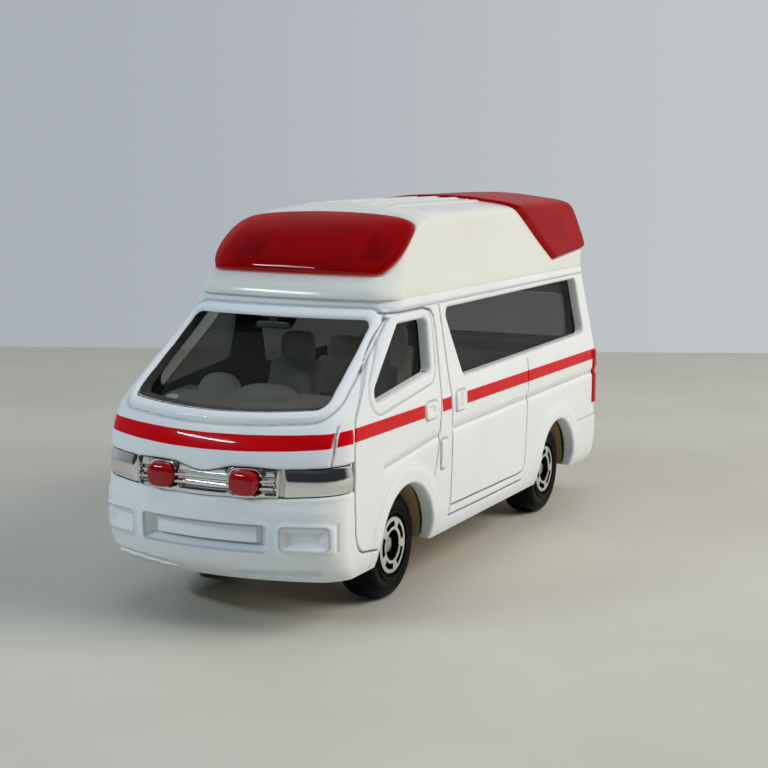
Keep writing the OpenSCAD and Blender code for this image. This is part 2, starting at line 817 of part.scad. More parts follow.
// Window of the hatch in the rear view, grown by d
module hatch_window_outline(d) {
    window_shares = [0.62, 0.855];
    half = hatch_half_w - wall;
    round_box(-half - d, half + d, up(window_shares[0]) - d, up(window_shares[1]) + d, window_r);
}

// Rear hatch with its hinge pins
module rear_hatch() {
    plate_shares = [0.2, 0.35, 0.47];
    handle_shares = [0.16, 0.49, 0.53];
    color("white") {
        difference() {
            side_cut(-hatch_half_w, hatch_half_w)
                tail_band(hatch_low_z, hinge_z, 0, hatch_t);
            front_cut(half_l - tail_corner_r - wall - hinge_edge_r, half_l + beyond)
                hatch_window_outline(0);
            intersection() {
                side_cut(-half_w, half_w)
                    tail_band(hatch_low_z, hinge_z, -wall, hatch_relief);
                translate([-body_width * plate_shares[0], 0, up(plate_shares[1])])
                    cube([2 * body_width * plate_shares[0], body_length,
                        body_rise * (plate_shares[2] - plate_shares[1])]);
            }
        }
        side_cut(-body_width * handle_shares[0], body_width * handle_shares[0])
            tail_band(up(handle_shares[1]), up(handle_shares[2]), -hatch_relief, hatch_t / 2);
        translate([-hatch_half_w, hinge_y, hinge_z])
            rotate([0, 90, 0])
                cylinder(r = hinge_edge_r - run_gap, h = 2 * hatch_half_w);
        translate([-hatch_half_w - hinge_pin_l, hinge_y, hinge_z])
            rotate([0, 90, 0])
                cylinder(r = hinge_pin_r, h = 2 * (hatch_half_w + hinge_pin_l));
    }
}

// Clear pane behind the hatch window
module hatch_window() {
    color("lightblue", 0.5)
        intersection() {
            side_cut(-half_w, half_w)
                tail_band(hatch_low_z, hinge_z - hinge_edge_r, hatch_t, hatch_t + moulded_wall);
            front_cut(half_l - tail_corner_r - 2 * wall - hinge_edge_r, half_l + beyond)
                hatch_window_outline(wall / 2);
        }
}

// Side view of a seat with its front foot at the origin
module seat_side(h, l) {
    cushion_share = 0.32;
    back_share = 0.36;
    head_share = 0.28;
    lean_share = 0.3;
    r = l * back_share / 3;
    hull()
        for (p = [[r, r], [l - r, r], [r, h * cushion_share], [l - r, h * cushion_share]])
            translate(p)
                circle(r, $fn = 16);
    hull()
        for (p = [[l - r, r], [l - 2 * r, r], [l - 2 * r + l * lean_share, h * (1 - head_share)],
            [l - r + l * lean_share, h * (1 - head_share)]])
            translate(p)
                circle(r, $fn = 16);
}

// One seat at a place along the body
module seat(x, y, w, h, l) {
    head_w_share = 0.55;
    head_share = 0.28;
    lean_share = 0.3;
    r = l / 6;
    translate([x - w / 2, y, floor_top_z - floor_t / 2])
        rotate([90, 0, 90])
            linear_extrude(w)
                seat_side(h, l);
    translate([x, y + l - r + l * lean_share, floor_top_z + h * (1 - head_share / 2)])
        hull()
            for (dx = [-1, 1], dz = [-1, 1])
                translate([dx * w * head_w_share / 3, 0, dz * h * head_share / 4])
                    sphere(r, $fn = 12);
}

// Seat floor, dashboard, seats and side bench in one moulding
module seat_moulding() {
    floor_end_share = 0.935;
    floor_y = front_post_y + post_r + fit_gap;
    half = side_x(floor_z) - wall - moulded_wall;
    bench_half = side_x(seam_height) - wall - moulded_wall - 2 * fit_gap;
    legs = [front_axle_y + leaf_l + wall, rear_axle_y - leaf_l - wall - moulded_wall];
    seat_shares = [0.27, 0.45, 0.62];
    dash_shares = [0.135, 0.17];
    hood_shares = [0.5, 0.16];
    top_share = 0.63;
    dash_h = up(top_share) - floor_top_z;
    rear_seat_share = 0.82;
    color("gainsboro") {
        translate([-half, floor_y, floor_z])
            cube([2 * half, along(floor_end_share) - floor_y, floor_t]);
        for (y = legs)
            translate([-tub_half_w, y, base_top_z])
                cube([2 * tub_half_w, moulded_wall, floor_z - base_top_z + floor_t / 2]);
        for (side = [-1, 1])
            seat(side * seat_x, along(seat_shares[0]), seat_w, seat_h, seat_l);
        for (share = [seat_shares[1], seat_shares[2]])
            seat(-bench_half + seat_w / 2, along(share), seat_w, seat_h * rear_seat_share, seat_l);
        translate([-half + wall, 0, 0])
            side_cut(0, 2 * (half - wall))
                hull() {
                    translate([along(dash_shares[0]), floor_top_z - floor_t / 2])
                        square([dash_back_y - along(dash_shares[0]), wall]);
                    translate([along(dash_shares[1]), floor_top_z + dash_h - wall])
                        circle(wall, $fn = 16);
                    translate([along(dash_shares[0]) + wall, floor_top_z + dash_h / 2])
                        circle(wall, $fn = 16);
                }
        translate([-half * hood_shares[0], along(hood_shares[1]), floor_top_z + dash_h - wall])
            sphere(2 * wall, $fn = 16);
    }
}

// Steering wheel on its column
module steering_wheel() {
    ring_share = 0.2;
    x_share = 0.44;
    tilt = 55;
    column_r = steer_r * ring_share;
    y = dash_back_y + steer_r * sin(tilt) + column_r * cos(tilt) + fit_gap;
    z = floor_top_z + steer_r + knee_gap;
    color("dimgray")
        translate([-side_x(floor_z) * x_share, y, z])
            rotate([-tilt, 0, 0]) {
                rotate_extrude($fn = 32)
                    translate([steer_r - column_r, 0])
                        circle(column_r, $fn = 16);
                cube([2 * (steer_r - column_r), column_r, column_r], center = true);
                translate([0, 0, -steer_r])
                    cylinder(r = column_r, h = steer_r, $fn = 16);
            }
}

// Half ring of a wheel tub, open at the bottom
module tub_half(r) {
    difference() {
        circle(r);
        translate([-2 * r, -2 * r])
            square([4 * r, 2 * r - arch_z + edge_height]);
    }
}

// Base plate with wheel tubs and axle troughs
module base_plate() {
    tub_out_x = side_x(edge_height) - wall - fit_gap;
    trough_low_z = edge_height - trough_depth;
    slot_low_z = arch_z - axle_r - run_gap;
    slot_half = axle_r + run_gap;
    color("antiquewhite")
        difference() {
            union() {
                difference() {
                    translate([0, 0, edge_height])
                        linear_extrude(base_t)
                            polygon(body_ring(edge_height, -wall - fit_gap));
                    both_sides()
                        side_cut(tub_half_w, half_w)
                            for (y = [front_axle_y, rear_axle_y])
                                translate([y - tub_r, 0])
                                    square([2 * tub_r, seam_height]);
                }
                for (y = [front_axle_y, rear_axle_y]) {
                    both_sides() {
                        side_cut(tub_half_w, tub_out_x)
                            translate([y, arch_z])
                                difference() {
                                    tub_half(tub_r + tub_t);
                                    circle(tub_r);
                                }
                        side_cut(tub_half_w - tub_t, tub_half_w)
                            translate([y, arch_z])
                                tub_half(tub_r + tub_t);
                    }
                    translate([-tub_half_w, y - trough_half_l, trough_low_z])
                        cube([2 * tub_half_w, 2 * trough_half_l, trough_depth + base_t]);
                }
            }
            for (y = [front_axle_y, rear_axle_y]) {
                translate([-half_w, y - slot_half, slot_low_z])
                    cube([body_width, 2 * slot_half, spring_travel + axle_d + 2 * run_gap]);
                translate([-tub_half_w + tub_t, y - trough_half_l + tub_t, slot_low_z])
                    cube([2 * (tub_half_w - tub_t), 2 * (trough_half_l - tub_t), wheel_r]);
            }
            for (y = [front_post_y, rear_post_y])
                translate([0, y, 0])
                    cylinder(r = rivet_r + fit_gap / 2, h = seam_height);
        }
    color("antiquewhite")
        base_relief();
}

// Exhaust, drive shaft, sump and spare wheel in relief under the base plate
module base_relief() {
    shaft_shares = [0.31, 0.72];
    pipe_shares = [0.2, 0.4, 0.66];
    spare_share = 0.13;
    sump_shares = [0.1, 0.3, 0.4];
    relief_z = edge_height - relief_h;
    spare_r = body_width * spare_share;
    spare_y = rear_post_y - rivet_head_r - hatch_gap - spare_r;
    translate([-relief_h, along(shaft_shares[0]), relief_z])
        cube([2 * relief_h, body_length * (shaft_shares[1] - shaft_shares[0]), 2 * relief_h]);
    translate([body_width * pipe_shares[0], along(pipe_shares[1]), relief_z])
        cube([2 * relief_h, body_length * (pipe_shares[2] - pipe_shares[1]), 2 * relief_h]);
    translate([-body_width * sump_shares[0], along(sump_shares[1]), relief_z])
        cube([2 * body_width * sump_shares[0], body_length * (sump_shares[2] - sump_shares[1]),
            2 * relief_h]);
    translate([0, spare_y, relief_z])
        cylinder(r = spare_r, h = 2 * relief_h);
}

// Leaf spring from its clamp on the base to the top of an axle
module leaf_spring(y, way) {
    low = arch_z + axle_r + run_gap;
    tip = axle_d;
    color("gray") {
        translate([-leaf_w / 2, way > 0 ? y - tip : y - leaf_l, low])
            cube([leaf_w, leaf_l + tip, leaf_t]);
        translate([-leaf_w / 2, way > 0 ? y + leaf_l - leaf_w : y - leaf_l, base_top_z])
            cube([leaf_w, leaf_w, low - base_top_z]);
    }
}

// Spring over the front axle
module front_leaf_spring() {
    leaf_spring(front_axle_y, 1);
}

// Spring over the rear axle
module rear_leaf_spring() {
    leaf_spring(rear_axle_y, -1);
}

// Axle with a head at each end
module axle(y) {
    head_x = wheel_face_x - hub_depth + run_gap;
    color("silver")
        translate([0, y, arch_z])
            rotate([0, 90, 0]) {
                cylinder(r = axle_r, h = 2 * head_x, center = true);
                for (side = [-1, 1])
                    translate([0, 0, side * (head_x + axle_head_t / 2)])
                        cylinder(d = axle_head_d, h = axle_head_t, center = true);
            }
}

// Axle of the front wheels
module front_axle() {
    axle(front_axle_y);
}

// Axle of the rear wheels
module rear_axle() {
    axle(rear_axle_y);
}

// Half section of a wheel: radius against width
module wheel_section() {
    boss_r = hub_r + line_w;
    rim_step = run_gap;
    back_r = wheel_r - wall - shoulder_r;
    back_depth = wheel_w - hub_depth - wall;
    boss_back = -(wheel_back_x - tub_half_w) / 2;
    bore = axle_r + run_gap;
    groove_r = rim_r + line_w;
    difference() {
        union() {
            translate([bore, boss_back])
                square([boss_r - bore, wheel_w / 2 - boss_back]);
            translate([bore, back_depth])
                square([wheel_r - shoulder_r - bore, wheel_w - back_depth]);
            translate([back_r, 0])
                square([wheel_r - shoulder_r - back_r, wheel_w]);
            translate([back_r, shoulder_r])
                square([wheel_r - back_r, wheel_w - 2 * shoulder_r]);
            for (h = [shoulder_r, wheel_w - shoulder_r])
                translate([wheel_r - shoulder_r, h])
                    circle(shoulder_r, $fn = 24);
        }
        translate([0, wheel_w - hub_depth])
            square([hub_r, hub_depth + wall]);
        translate([rim_r, wheel_w - line_depth])
            square([groove_r - rim_r, wall]);
        translate([hub_r, wheel_w - rim_step])
            square([rim_r - hub_r, wall]);
    }
}

// Wheel with a slotted rim, face towards +X
module wheel() {
    slot_share = 0.62;
    slot_in = hub_r + line_w * slot_share;
    slot_out = rim_r - line_w;
    slot_angle = 360 / rim_slots * slot_share;
    rotate([0, 90, 0])
        difference() {
            rotate_extrude()
                wheel_section();
            for (i = [0:rim_slots - 1])
                rotate([0, 0, 360 / rim_slots * i - slot_angle / 2])
                    translate([0, 0, wheel_w - slot_depth])
                        rotate_extrude(angle = slot_angle)
                            translate([slot_in, 0])
                                square([slot_out - slot_in, wall]);
        }
}

// Front wheel on the left of the body
module front_left_wheel() {
    color("black")
        translate([wheel_back_x, front_axle_y, arch_z])
            wheel();
}

// Front wheel on the right of the body
module front_right_wheel() {
    color("black")
        translate([-wheel_back_x, front_axle_y, arch_z])
            mirror([1, 0, 0])
                wheel();
}

// Rear wheel on the left of the body
module rear_left_wheel() {
    color("black")
        translate([wheel_back_x, rear_axle_y, arch_z])
            wheel();
}

// Rear wheel on the right of the body
module rear_right_wheel() {
    color("black")
        translate([-wheel_back_x, rear_axle_y, arch_z])
            mirror([1, 0, 0])
                wheel();
}

// Rivets that hold the base plate to the posts
module base_rivets() {
    color("silver")
        for (y = [front_post_y, rear_post_y])
            translate([0, y, edge_height]) {
                translate([0, 0, -rivet_head_h])
                    cylinder(r1 = rivet_head_r - rivet_head_h / 2, r2 = rivet_head_r, h = rivet_head_h);
                cylinder(r = rivet_r, h = base_t + rivet_depth);
            }
}

body_shell();
high_roof();
front_light_lens();
rear_light_lens();
glazing();
grille_insert();
grille_beacons();
rear_hatch();
hatch_window();
seat_moulding();
steering_wheel();
base_plate();
front_leaf_spring();
rear_leaf_spring();
front_axle();
rear_axle();
front_left_wheel();
front_right_wheel();
rear_left_wheel();
rear_right_wheel();
base_rivets();
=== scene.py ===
"""Toy ambulance van: painted body, clear red light bars, smoked windows, bright trim and wheels."""
import math

import bmesh
import bpy
import numpy as np
from mathutils import Matrix, Vector


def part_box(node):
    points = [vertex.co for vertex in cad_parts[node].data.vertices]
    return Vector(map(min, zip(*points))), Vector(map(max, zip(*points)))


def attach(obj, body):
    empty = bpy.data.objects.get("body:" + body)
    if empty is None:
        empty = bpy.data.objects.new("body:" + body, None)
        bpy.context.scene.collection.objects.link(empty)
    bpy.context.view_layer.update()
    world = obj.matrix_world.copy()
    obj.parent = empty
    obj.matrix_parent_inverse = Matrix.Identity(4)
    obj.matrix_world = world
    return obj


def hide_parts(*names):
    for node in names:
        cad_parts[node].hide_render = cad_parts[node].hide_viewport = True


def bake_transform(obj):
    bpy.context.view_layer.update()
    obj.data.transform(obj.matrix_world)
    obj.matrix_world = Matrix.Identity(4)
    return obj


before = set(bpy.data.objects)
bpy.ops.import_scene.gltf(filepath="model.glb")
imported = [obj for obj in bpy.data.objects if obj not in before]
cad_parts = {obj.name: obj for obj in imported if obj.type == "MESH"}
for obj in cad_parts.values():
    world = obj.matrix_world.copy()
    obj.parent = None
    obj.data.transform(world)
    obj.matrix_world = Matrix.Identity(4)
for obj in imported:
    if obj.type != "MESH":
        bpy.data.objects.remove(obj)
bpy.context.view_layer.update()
scene = bpy.context.scene
MM = 0.001

# Driving sizes of the model in millimetres
HALF_L, HALF_W = 38.0, 12.5
EDGE_Z, SEAM_Z = 4.6, 28.8
WALL, FIT = 1.1, 0.1
NOSE_R = TAIL_R = 2.2
SKEW = 1.6
BOW_REACH = 0.3
AXLE_Y = (-20.46, 22.14)
AXLE_Z, ARCH_R = 5.2, 6.1
FAR = 9.0
HATCH_HALF, HATCH_GAP, HATCH_LOW = 9.4, 0.25, 10.448
HATCH_TOP, HINGE_Y, HINGE_Z = 27.62, 34.5, 26.22
POSTS = ((-30.41, 18.5), (32.09, 9.94))


# Numbers

def smooth_table(rows):
    """Monotone cubic curve through (place, value) rows."""
    x = np.array([r[0] for r in rows], float)
    y = np.array([r[1] for r in rows], float)
    h = np.diff(x)
    d = np.diff(y) / h
    m = np.concatenate([[d[0]], np.zeros(len(x) - 2), [d[-1]]])
    for i in range(1, len(x) - 1):
        if d[i - 1] * d[i] > 0:
            a, b = 2 * h[i] + h[i - 1], h[i] + 2 * h[i - 1]
            m[i] = (a + b) / (a / d[i - 1] + b / d[i])

    def curve(q):
        q = np.clip(q, x[0], x[-1])
        i = np.clip(np.searchsorted(x, q, side="right") - 1, 0, len(x) - 2)
        t = (q - x[i]) / h[i]
        return (y[i] * (1 + 2 * t) * (1 - t) ** 2 + h[i] * m[i] * t * (1 - t) ** 2
                + y[i + 1] * t * t * (3 - 2 * t) + h[i] * m[i + 1] * t * t * (t - 1))

    return curve


def ramp(q, low, high):
    """Smooth step from 0 at low to 1 at high."""
    t = np.clip((q - low) / (high - low), 0, 1)
    return t * t * (3 - 2 * t)


def to_segment(px, pz, a, b):
    """Distance of points to a segment in a plane."""
    dx, dz = b[0] - a[0], b[1] - a[1]
    t = np.clip(((px - a[0]) * dx + (pz - a[1]) * dz) / (dx * dx + dz * dz), 0, 1)
    return np.hypot(px - a[0] - t * dx, pz - a[1] - t * dz)


def to_line(px, pz, points):
    """Distance of points to a polyline in a plane."""
    return np.min([to_segment(px, pz, a, b) for a, b in zip(points, points[1:])], axis=0)


def to_outline(px, pz, points):
    """Signed distance of points to a closed outline, negative inside."""
    dist = to_line(px, pz, list(points) + [points[0]])
    inside = np.zeros(np.shape(px), bool)
    for a, b in zip(points, list(points[1:]) + [points[0]]):
        if a[1] == b[1]:
            continue
        hit = (pz >= min(a[1], b[1])) & (pz < max(a[1], b[1]))
        inside ^= hit & (px < a[0] + (pz - a[1]) * (b[0] - a[0]) / (b[1] - a[1]))
    return np.where(inside, -dist, dist)


def to_box(px, pz, cx, cz, hx, hz, r):
    """Signed distance of points to a rectangle with round corners."""
    qx, qz = np.abs(px - cx) - hx + r, np.abs(pz - cz) - hz + r
    return np.hypot(np.maximum(qx, 0), np.maximum(qz, 0)) + np.minimum(np.maximum(qx, qz), 0) - r


def rounded(points):
    """Polyline with its corners cut twice, ends kept."""
    pts = [np.array(p, float) for p in points]
    for _ in range(2):
        new = [pts[0]]
        for a, b in zip(pts, pts[1:]):
            reach = min(0.25, 1.2 / max(np.hypot(*(b - a)), 1e-6))
            new += [a + (b - a) * reach, b - (b - a) * reach]
        pts = new + [pts[-1]]
    return [tuple(p) for p in pts]


def swollen(points, r, steps=8):
    """Outline of a convex polygon, given anticlockwise, grown by r with round corners."""
    out = []
    n = len(points)
    for i, p in enumerate(points):
        a, b = points[i - 1], points[(i + 1) % n]
        start = math.atan2(p[1] - a[1], p[0] - a[0]) - math.pi / 2
        end = math.atan2(b[1] - p[1], b[0] - p[0]) - math.pi / 2
        while end < start:
            end += 2 * math.pi
        out += [(p[0] + r * math.cos(start + (end - start) * k / steps),
                 p[1] + r * math.sin(start + (end - start) * k / steps)) for k in range(steps + 1)]
    return out


def moved_edges(points, d):
    """Closed anticlockwise outline with each edge moved inwards by d."""
    out = []
    n = len(points)
    for i, p in enumerate(points):
        a, b = np.array(points[i - 1]), np.array(points[(i + 1) % n])
        p = np.array(p, float)
        u, v = (p - a) / np.hypot(*(p - a)), (b - p) / np.hypot(*(b - p))
        nu, nv = np.array([-u[1], u[0]]), np.array([-v[1], v[0]])
        out.append(tuple(p + d * (nu + nv) / (1 + nu @ nv)))
    return out


# Meshes

def link(obj):
    scene.collection.objects.link(obj)
    return obj


def mesh_object(name, verts, faces):
    """Object from points in millimetres."""
    mesh = bpy.data.meshes.new(name)
    mesh.from_pydata([tuple(v) for v in np.asarray(verts).tolist()], [], faces)
    mesh.update()
    return link(bpy.data.objects.new(name, mesh))


def face_out(obj):
    """Turns the faces of a closed mesh outwards."""
    bm = bmesh.new()
    bm.from_mesh(obj.data)
    bmesh.ops.recalc_face_normals(bm, faces=bm.faces)
    bm.to_mesh(obj.data)
    bm.free()
    return obj


def prism(points, axis, low, high):
    """Solid of a plane outline pushed along an axis: x takes (y, z), y takes (x, z), z takes (x, y)."""
    def place(p, q):
        return {"x": (q, p[0], p[1]), "y": (p[0], q, p[1]), "z": (p[0], p[1], q)}[axis]

    n = len(points)
    verts = [place(p, low) for p in points] + [place(p, high) for p in points]
    faces = [list(range(n)), list(range(n, 2 * n))]
    faces += [[i, (i + 1) % n, n + (i + 1) % n, n + i] for i in range(n)]
    return face_out(mesh_object("prism", verts, faces))


def circle_points(cx, cy, r, n):
    turns = [2 * math.pi * k / n for k in range(n)]
    return [(cx + r * math.cos(turn), cy + r * math.sin(turn)) for turn in turns]


def rectangle(x0, x1, z0, z1):
    return [(x0, z0), (x1, z0), (x1, z1), (x0, z1)]


def settle(obj):
    """Applies the object's modifiers to its mesh."""
    bpy.context.view_layer.update()
    made = bpy.data.meshes.new_from_object(obj.evaluated_get(bpy.context.evaluated_depsgraph_get()))
    old = obj.data
    obj.modifiers.clear()
    obj.data = made
    bpy.data.meshes.remove(old)
    return obj


def combine(obj, others, how):
    """Boolean of an object with others, which are used up. how is DIFFERENCE, INTERSECT or UNION."""
    for other in others:
        cut = obj.modifiers.new("cut", "BOOLEAN")
        cut.operation = how
        cut.solver = "MANIFOLD"
        cut.object = other
    settle(obj)
    for other in others:
        bpy.data.objects.remove(other)
    return obj


def bevel(obj, width, segments=3):
    edge = obj.modifiers.new("edge", "BEVEL")
    edge.width = width
    edge.segments = segments
    edge.limit_method = "ANGLE"
    edge.angle_limit = math.radians(35)
    return settle(obj)


SLACK = 0.04


def dissolve_slack(bm):
    """Dissolves points that bend the seam of two faces only a little, which would fold in triangles."""
    slack = set()
    for v in bm.verts:
        if len(v.link_edges) != 2:
            continue
        a, b = (e.other_vert(v) for e in v.link_edges)
        chord = b.co - a.co
        off = (v.co - a.co).cross(chord).length / max(chord.length, 1e-9)
        if off < SLACK and a not in slack and b not in slack:
            slack.add(v)
    bmesh.ops.dissolve_verts(bm, verts=list(slack))


def finish_mesh(obj, name, sharp=40):
    """Names a mesh and shades it smooth up to an angle."""
    obj.name = obj.data.name = name
    bm = bmesh.new()
    bm.from_mesh(obj.data)
    bmesh.ops.dissolve_degenerate(bm, edges=bm.edges, dist=1e-5)
    for _ in range(2):
        dissolve_slack(bm)
    limit = math.radians(sharp)
    for f in bm.faces:
        f.smooth = True
    for e in bm.edges:
        e.smooth = len(e.link_faces) == 2 and e.calc_face_angle(0) < limit
    bm.to_mesh(obj.data)
    bm.free()
    return obj


def to_metres(obj):
    obj.data.transform(Matrix.Scale(MM, 4))
    obj.data.update()
    return obj


def vectors(items, key):
    """Vectors of all the points or faces of a mesh."""
    out = np.empty(len(items) * 3, np.float32)
    items.foreach_get(key, out)
    return out.reshape(-1, 3).astype(float)


def attribute(obj, name, values):
    made = obj.data.attributes.new(name, "FLOAT", "POINT")
    made.data.foreach_set("value", np.asarray(values, np.float32))


def refined_sheet(cols, rows, k, chosen):
    """Polygons of a sheet that is closed round its columns, with k by k quads in each chosen cell.
    Returns the lattice places (column, row) of its points, its polygons, and its low and high rings."""
    high = rows * k + 1
    span = cols * k

    def key(a, b):
        return (a % span) * high + b

    ci, cj = np.nonzero(chosen)
    di, dj = (g.ravel() for g in np.meshgrid(np.arange(k), np.arange(k), indexing="ij"))
    a = (ci[:, None] * k + di).ravel()
    b = (cj[:, None] * k + dj).ravel()
    polys = np.stack([key(a, b), key(a + 1, b), key(a + 1, b + 1), key(a, b + 1)], 1).tolist()
    for i, j in zip(*np.nonzero(~chosen)):
        loop = []
        a0, b0, a1, b1 = i * k, j * k, (i + 1) * k, (j + 1) * k
        low = k if j == 0 or not chosen[i, j - 1] else 1
        right = k if not chosen[(i + 1) % cols, j] else 1
        top = k if j == rows - 1 or not chosen[i, j + 1] else 1
        left = k if not chosen[i - 1, j] else 1
        loop += [key(a, b0) for a in range(a0, a1, low)]
        loop += [key(a1, b) for b in range(b0, b1, right)]
        loop += [key(a, b1) for a in range(a1, a0, -top)]
        loop += [key(a0, b) for b in range(b1, b0, -left)]
        polys.append(loop)
    used = np.unique(np.concatenate([np.array(p) for p in polys]))
    index = {int(u): n for n, u in enumerate(used)}
    polys = [[index[q] for q in p] for p in polys]
    place = np.stack([used // high, used % high], 1) / k
    rings = []
    for b in (0, rows * k):
        at = np.nonzero(used % high == b)[0]
        rings.append(at[np.argsort(used[at] // high)].tolist())
    return place, polys, rings


def half_outline(s, lengths, w, yf, yr, rf, rr, bow):
    """Left half of an outline seen from above, s from 0 at the front to 1 at the rear."""
    ends = np.cumsum(lengths) / np.sum(lengths)
    starts = np.concatenate([[0], ends[:-1]])
    part = np.clip(np.searchsorted(ends, s, side="left"), 0, 4)
    t = (s - starts[part]) / (ends - starts)[part]
    turn = t * math.pi / 2
    x = np.choose(part, [(w - rf) * t, w - rf + rf * np.sin(turn), w + 0 * t,
                         w - rr + rr * np.cos(turn), (w - rr) * (1 - t)])
    y = np.choose(part, [yf + 0 * t, yf + rf - rf * np.cos(turn), yf + rf + (yr - rr - yf - rf) * t,
                         yr - rr + rr * np.sin(turn), yr + 0 * t])
    y = y + bow * (x / w) ** 2 * np.maximum(0, 1 - (y - yf) / (BOW_REACH * (yr - yf)))
    return x, y


SPLIT_REACH = 0.45


class Skin:
    """Smooth skin through outlines: rings closed round, rows from low to high."""

    def __init__(self, lengths, half_cols, rows):
        self.lengths = lengths
        self.cols = 2 * half_cols
        self.rows = np.asarray(rows, float)

    def ring(self, q, d):
        raise NotImplementedError

    def at(self, u, v, d=0.0):
        """Points at columns u and rows v, moved out by d."""
        q = np.interp(v, np.arange(len(self.rows)), self.rows)
        u = np.mod(u, self.cols)
        half = self.cols / 2
        side = np.where(u > half, -1.0, 1.0)
        s = np.where(u > half, self.cols - u, u) / half
        w, yf, yr, rf, rr, bow, z = self.ring(q, d)
        x, y = half_outline(s, self.lengths, w, yf, yr, rf, rr, bow)
        return np.stack([x * side, y, z + 0 * x], 1)

    def normal(self, u, v):
        step = 0.3
        top = len(self.rows) - 1
        du = self.at(u + step, v) - self.at(u - step, v)
        dv = self.at(u, np.minimum(v + step, top)) - self.at(u, np.maximum(v - step, 0))
        n = np.cross(du, dv)
        return n / np.maximum(np.linalg.norm(n, axis=1, keepdims=True), 1e-9)

    def solid(self, name, d=0.0, detail=None, k=1):
        """Closed solid of the skin, moved out by d. Cells near a form are split k by k.
        detail(points) gives (displacement, distance to the nearest form)."""
        cols, rows = self.cols, len(self.rows) - 1
        chosen = np.zeros((cols, rows), bool)
        if detail:
            ci, cj = (g.ravel() for g in np.meshgrid(np.arange(cols), np.arange(rows), indexing="ij"))
            near = detail(self.at(ci + 0.5, cj + 0.5))[1]
            chosen = (near < SPLIT_REACH).reshape(cols, rows)
        place, polys, rings = refined_sheet(cols, rows, k, chosen)
        pts = self.at(place[:, 0], place[:, 1], d)
        if detail:
            base = self.at(place[:, 0], place[:, 1])
            pts = pts + self.normal(place[:, 0], place[:, 1]) * detail(base)[0][:, None]
        polys += [rings[0][::-1], rings[1]]
        return mesh_object(name, pts, polys)


# Body sections

NOSE = smooth_table([(4.6, 2.2), (5.2, 1.5), (6.3, 0.6), (8, 0.1), (10, 0), (11.4, 0.03), (11.9, 0.3),
                     (14.6, 0.45), (16.1, 0.7), (16.8, 0.95), (17.5, 1.27), (18.2, 1.72), (19.1, 2.6),
                     (19.9, 3.7), (27.1, 14.4), (28, 15.4), (28.8, 16.0)])
TAIL = smooth_table([(4.6, 0.8), (5.4, 0.3), (7, 0.05), (9, 0), (9.8, 0.1), (10.2, 0.45), (14.6, 0.55),
                     (18, 0.65), (19.9, 0.9), (27.1, 2.55), (28.8, 2.95)])
SIDE = smooth_table([(4.6, 0.5), (5.4, 0.2), (7, 0.04), (9, 0), (17, 0), (18.2, 0.04), (19.1, 0.15),
                     (19.9, 0.28), (27.1, 1.26), (28, 1.38), (28.8, 1.5)])
BOW = smooth_table([(4.6, 2.8), (8, 3.0), (16, 2.9), (18.2, 2.5), (19.9, 2.0), (27.1, 1.6), (28.8, 1.5)])


class BodySkin(Skin):
    def __init__(self, half_cols, low=EDGE_Z, high=SEAM_Z, pitch=0.4):
        belt = 19.1
        n1 = max(2, int((belt - low) / pitch)) if low < belt else 0
        n2 = max(2, int((high - max(low, belt)) / (pitch * 0.62)))
        rows = np.concatenate([np.linspace(low, belt, n1 + 1)[:-1] if n1 else [],
                               np.linspace(max(low, belt), high, n2 + 1)])
        super().__init__([10.3, 3.46, 71.6, 3.46, 10.3], half_cols, rows)

    def ring(self, q, d):
        z = np.clip(q, EDGE_Z, SEAM_Z)
        least = 0.66
        return (HALF_W - SIDE(z) + d, -HALF_L + NOSE(z) - SKEW * d, HALF_L - TAIL(z) + d,
                max(NOSE_R + d, least), max(TAIL_R + d, least), BOW(z), q)


# Roof sections: height, half width, front, rear, bow

ROOF_ROWS = [(28.8, 11.1, -22.65, 35.1, 1.5), (29.25, 11.04, -22.53, 35.4, 1.5),
             (29.75, 10.92, -22.26, 35.8, 1.5), (30.4, 10.75, -21.7, 36.4, 1.6),
             (31, 10.6, -21.2, 36.9, 1.7), (32.2, 10.3, -20.6, 36.7, 1.9), (33.4, 10.05, -19.6, 36.1, 2),
             (34.4, 9.88, -18.3, 35.5, 2.1), (35.2, 9.74, -16.6, 34.9, 2.1), (35.8, 9.6, -14.8, 34.4, 2),
             (36.2, 9.44, -13, 33.8, 1.7), (36.5, 9.05, -11.6, 33.2, 1.3), (36.8, 7.9, -10.6, 32.7, 0.9),
             (37.1, 5.6, -9.9, 32.2, 0.5), (37.4, 2.8, -9.3, 31.8, 0.2), (37.48, 0.12, -9.0, 31.6, 0.05)]
ROOF_RISE, ROOF_R, MOULDED = 8.6, 2.5, 0.9


class RoofSkin(Skin):
    def __init__(self, half_cols, count, low=SEAM_Z, lift=1.0):
        table = np.array(ROOF_ROWS)
        self.low, self.lift = low, lift
        way = np.concatenate([[0], np.cumsum(np.hypot(np.diff(table[:, 0]), np.diff(table[:, 1])))])
        self.curves = [smooth_table(list(zip(way, table[:, i]))) for i in range(5)]
        super().__init__([8.0, 4.71, 51.0, 4.71, 8.0], half_cols, np.linspace(0, way[-1], count))

    def ring(self, q, d):
        z, w, yf, yr, bow = (curve(q) for curve in self.curves)
        w = np.maximum(w + d * np.minimum(1, w / 2), 0.1)
        r = np.minimum(ROOF_R + d, 0.9 * w)
        share = (z - SEAM_Z) / ROOF_RISE
        z = np.where(share < 1e-9, self.low, SEAM_Z + (ROOF_RISE + d * self.lift) * share)
        return w, yf - d, yr + d, r, r, bow, z


# Lines and forms on the body, side view as (y, z) and front view as (x, z)

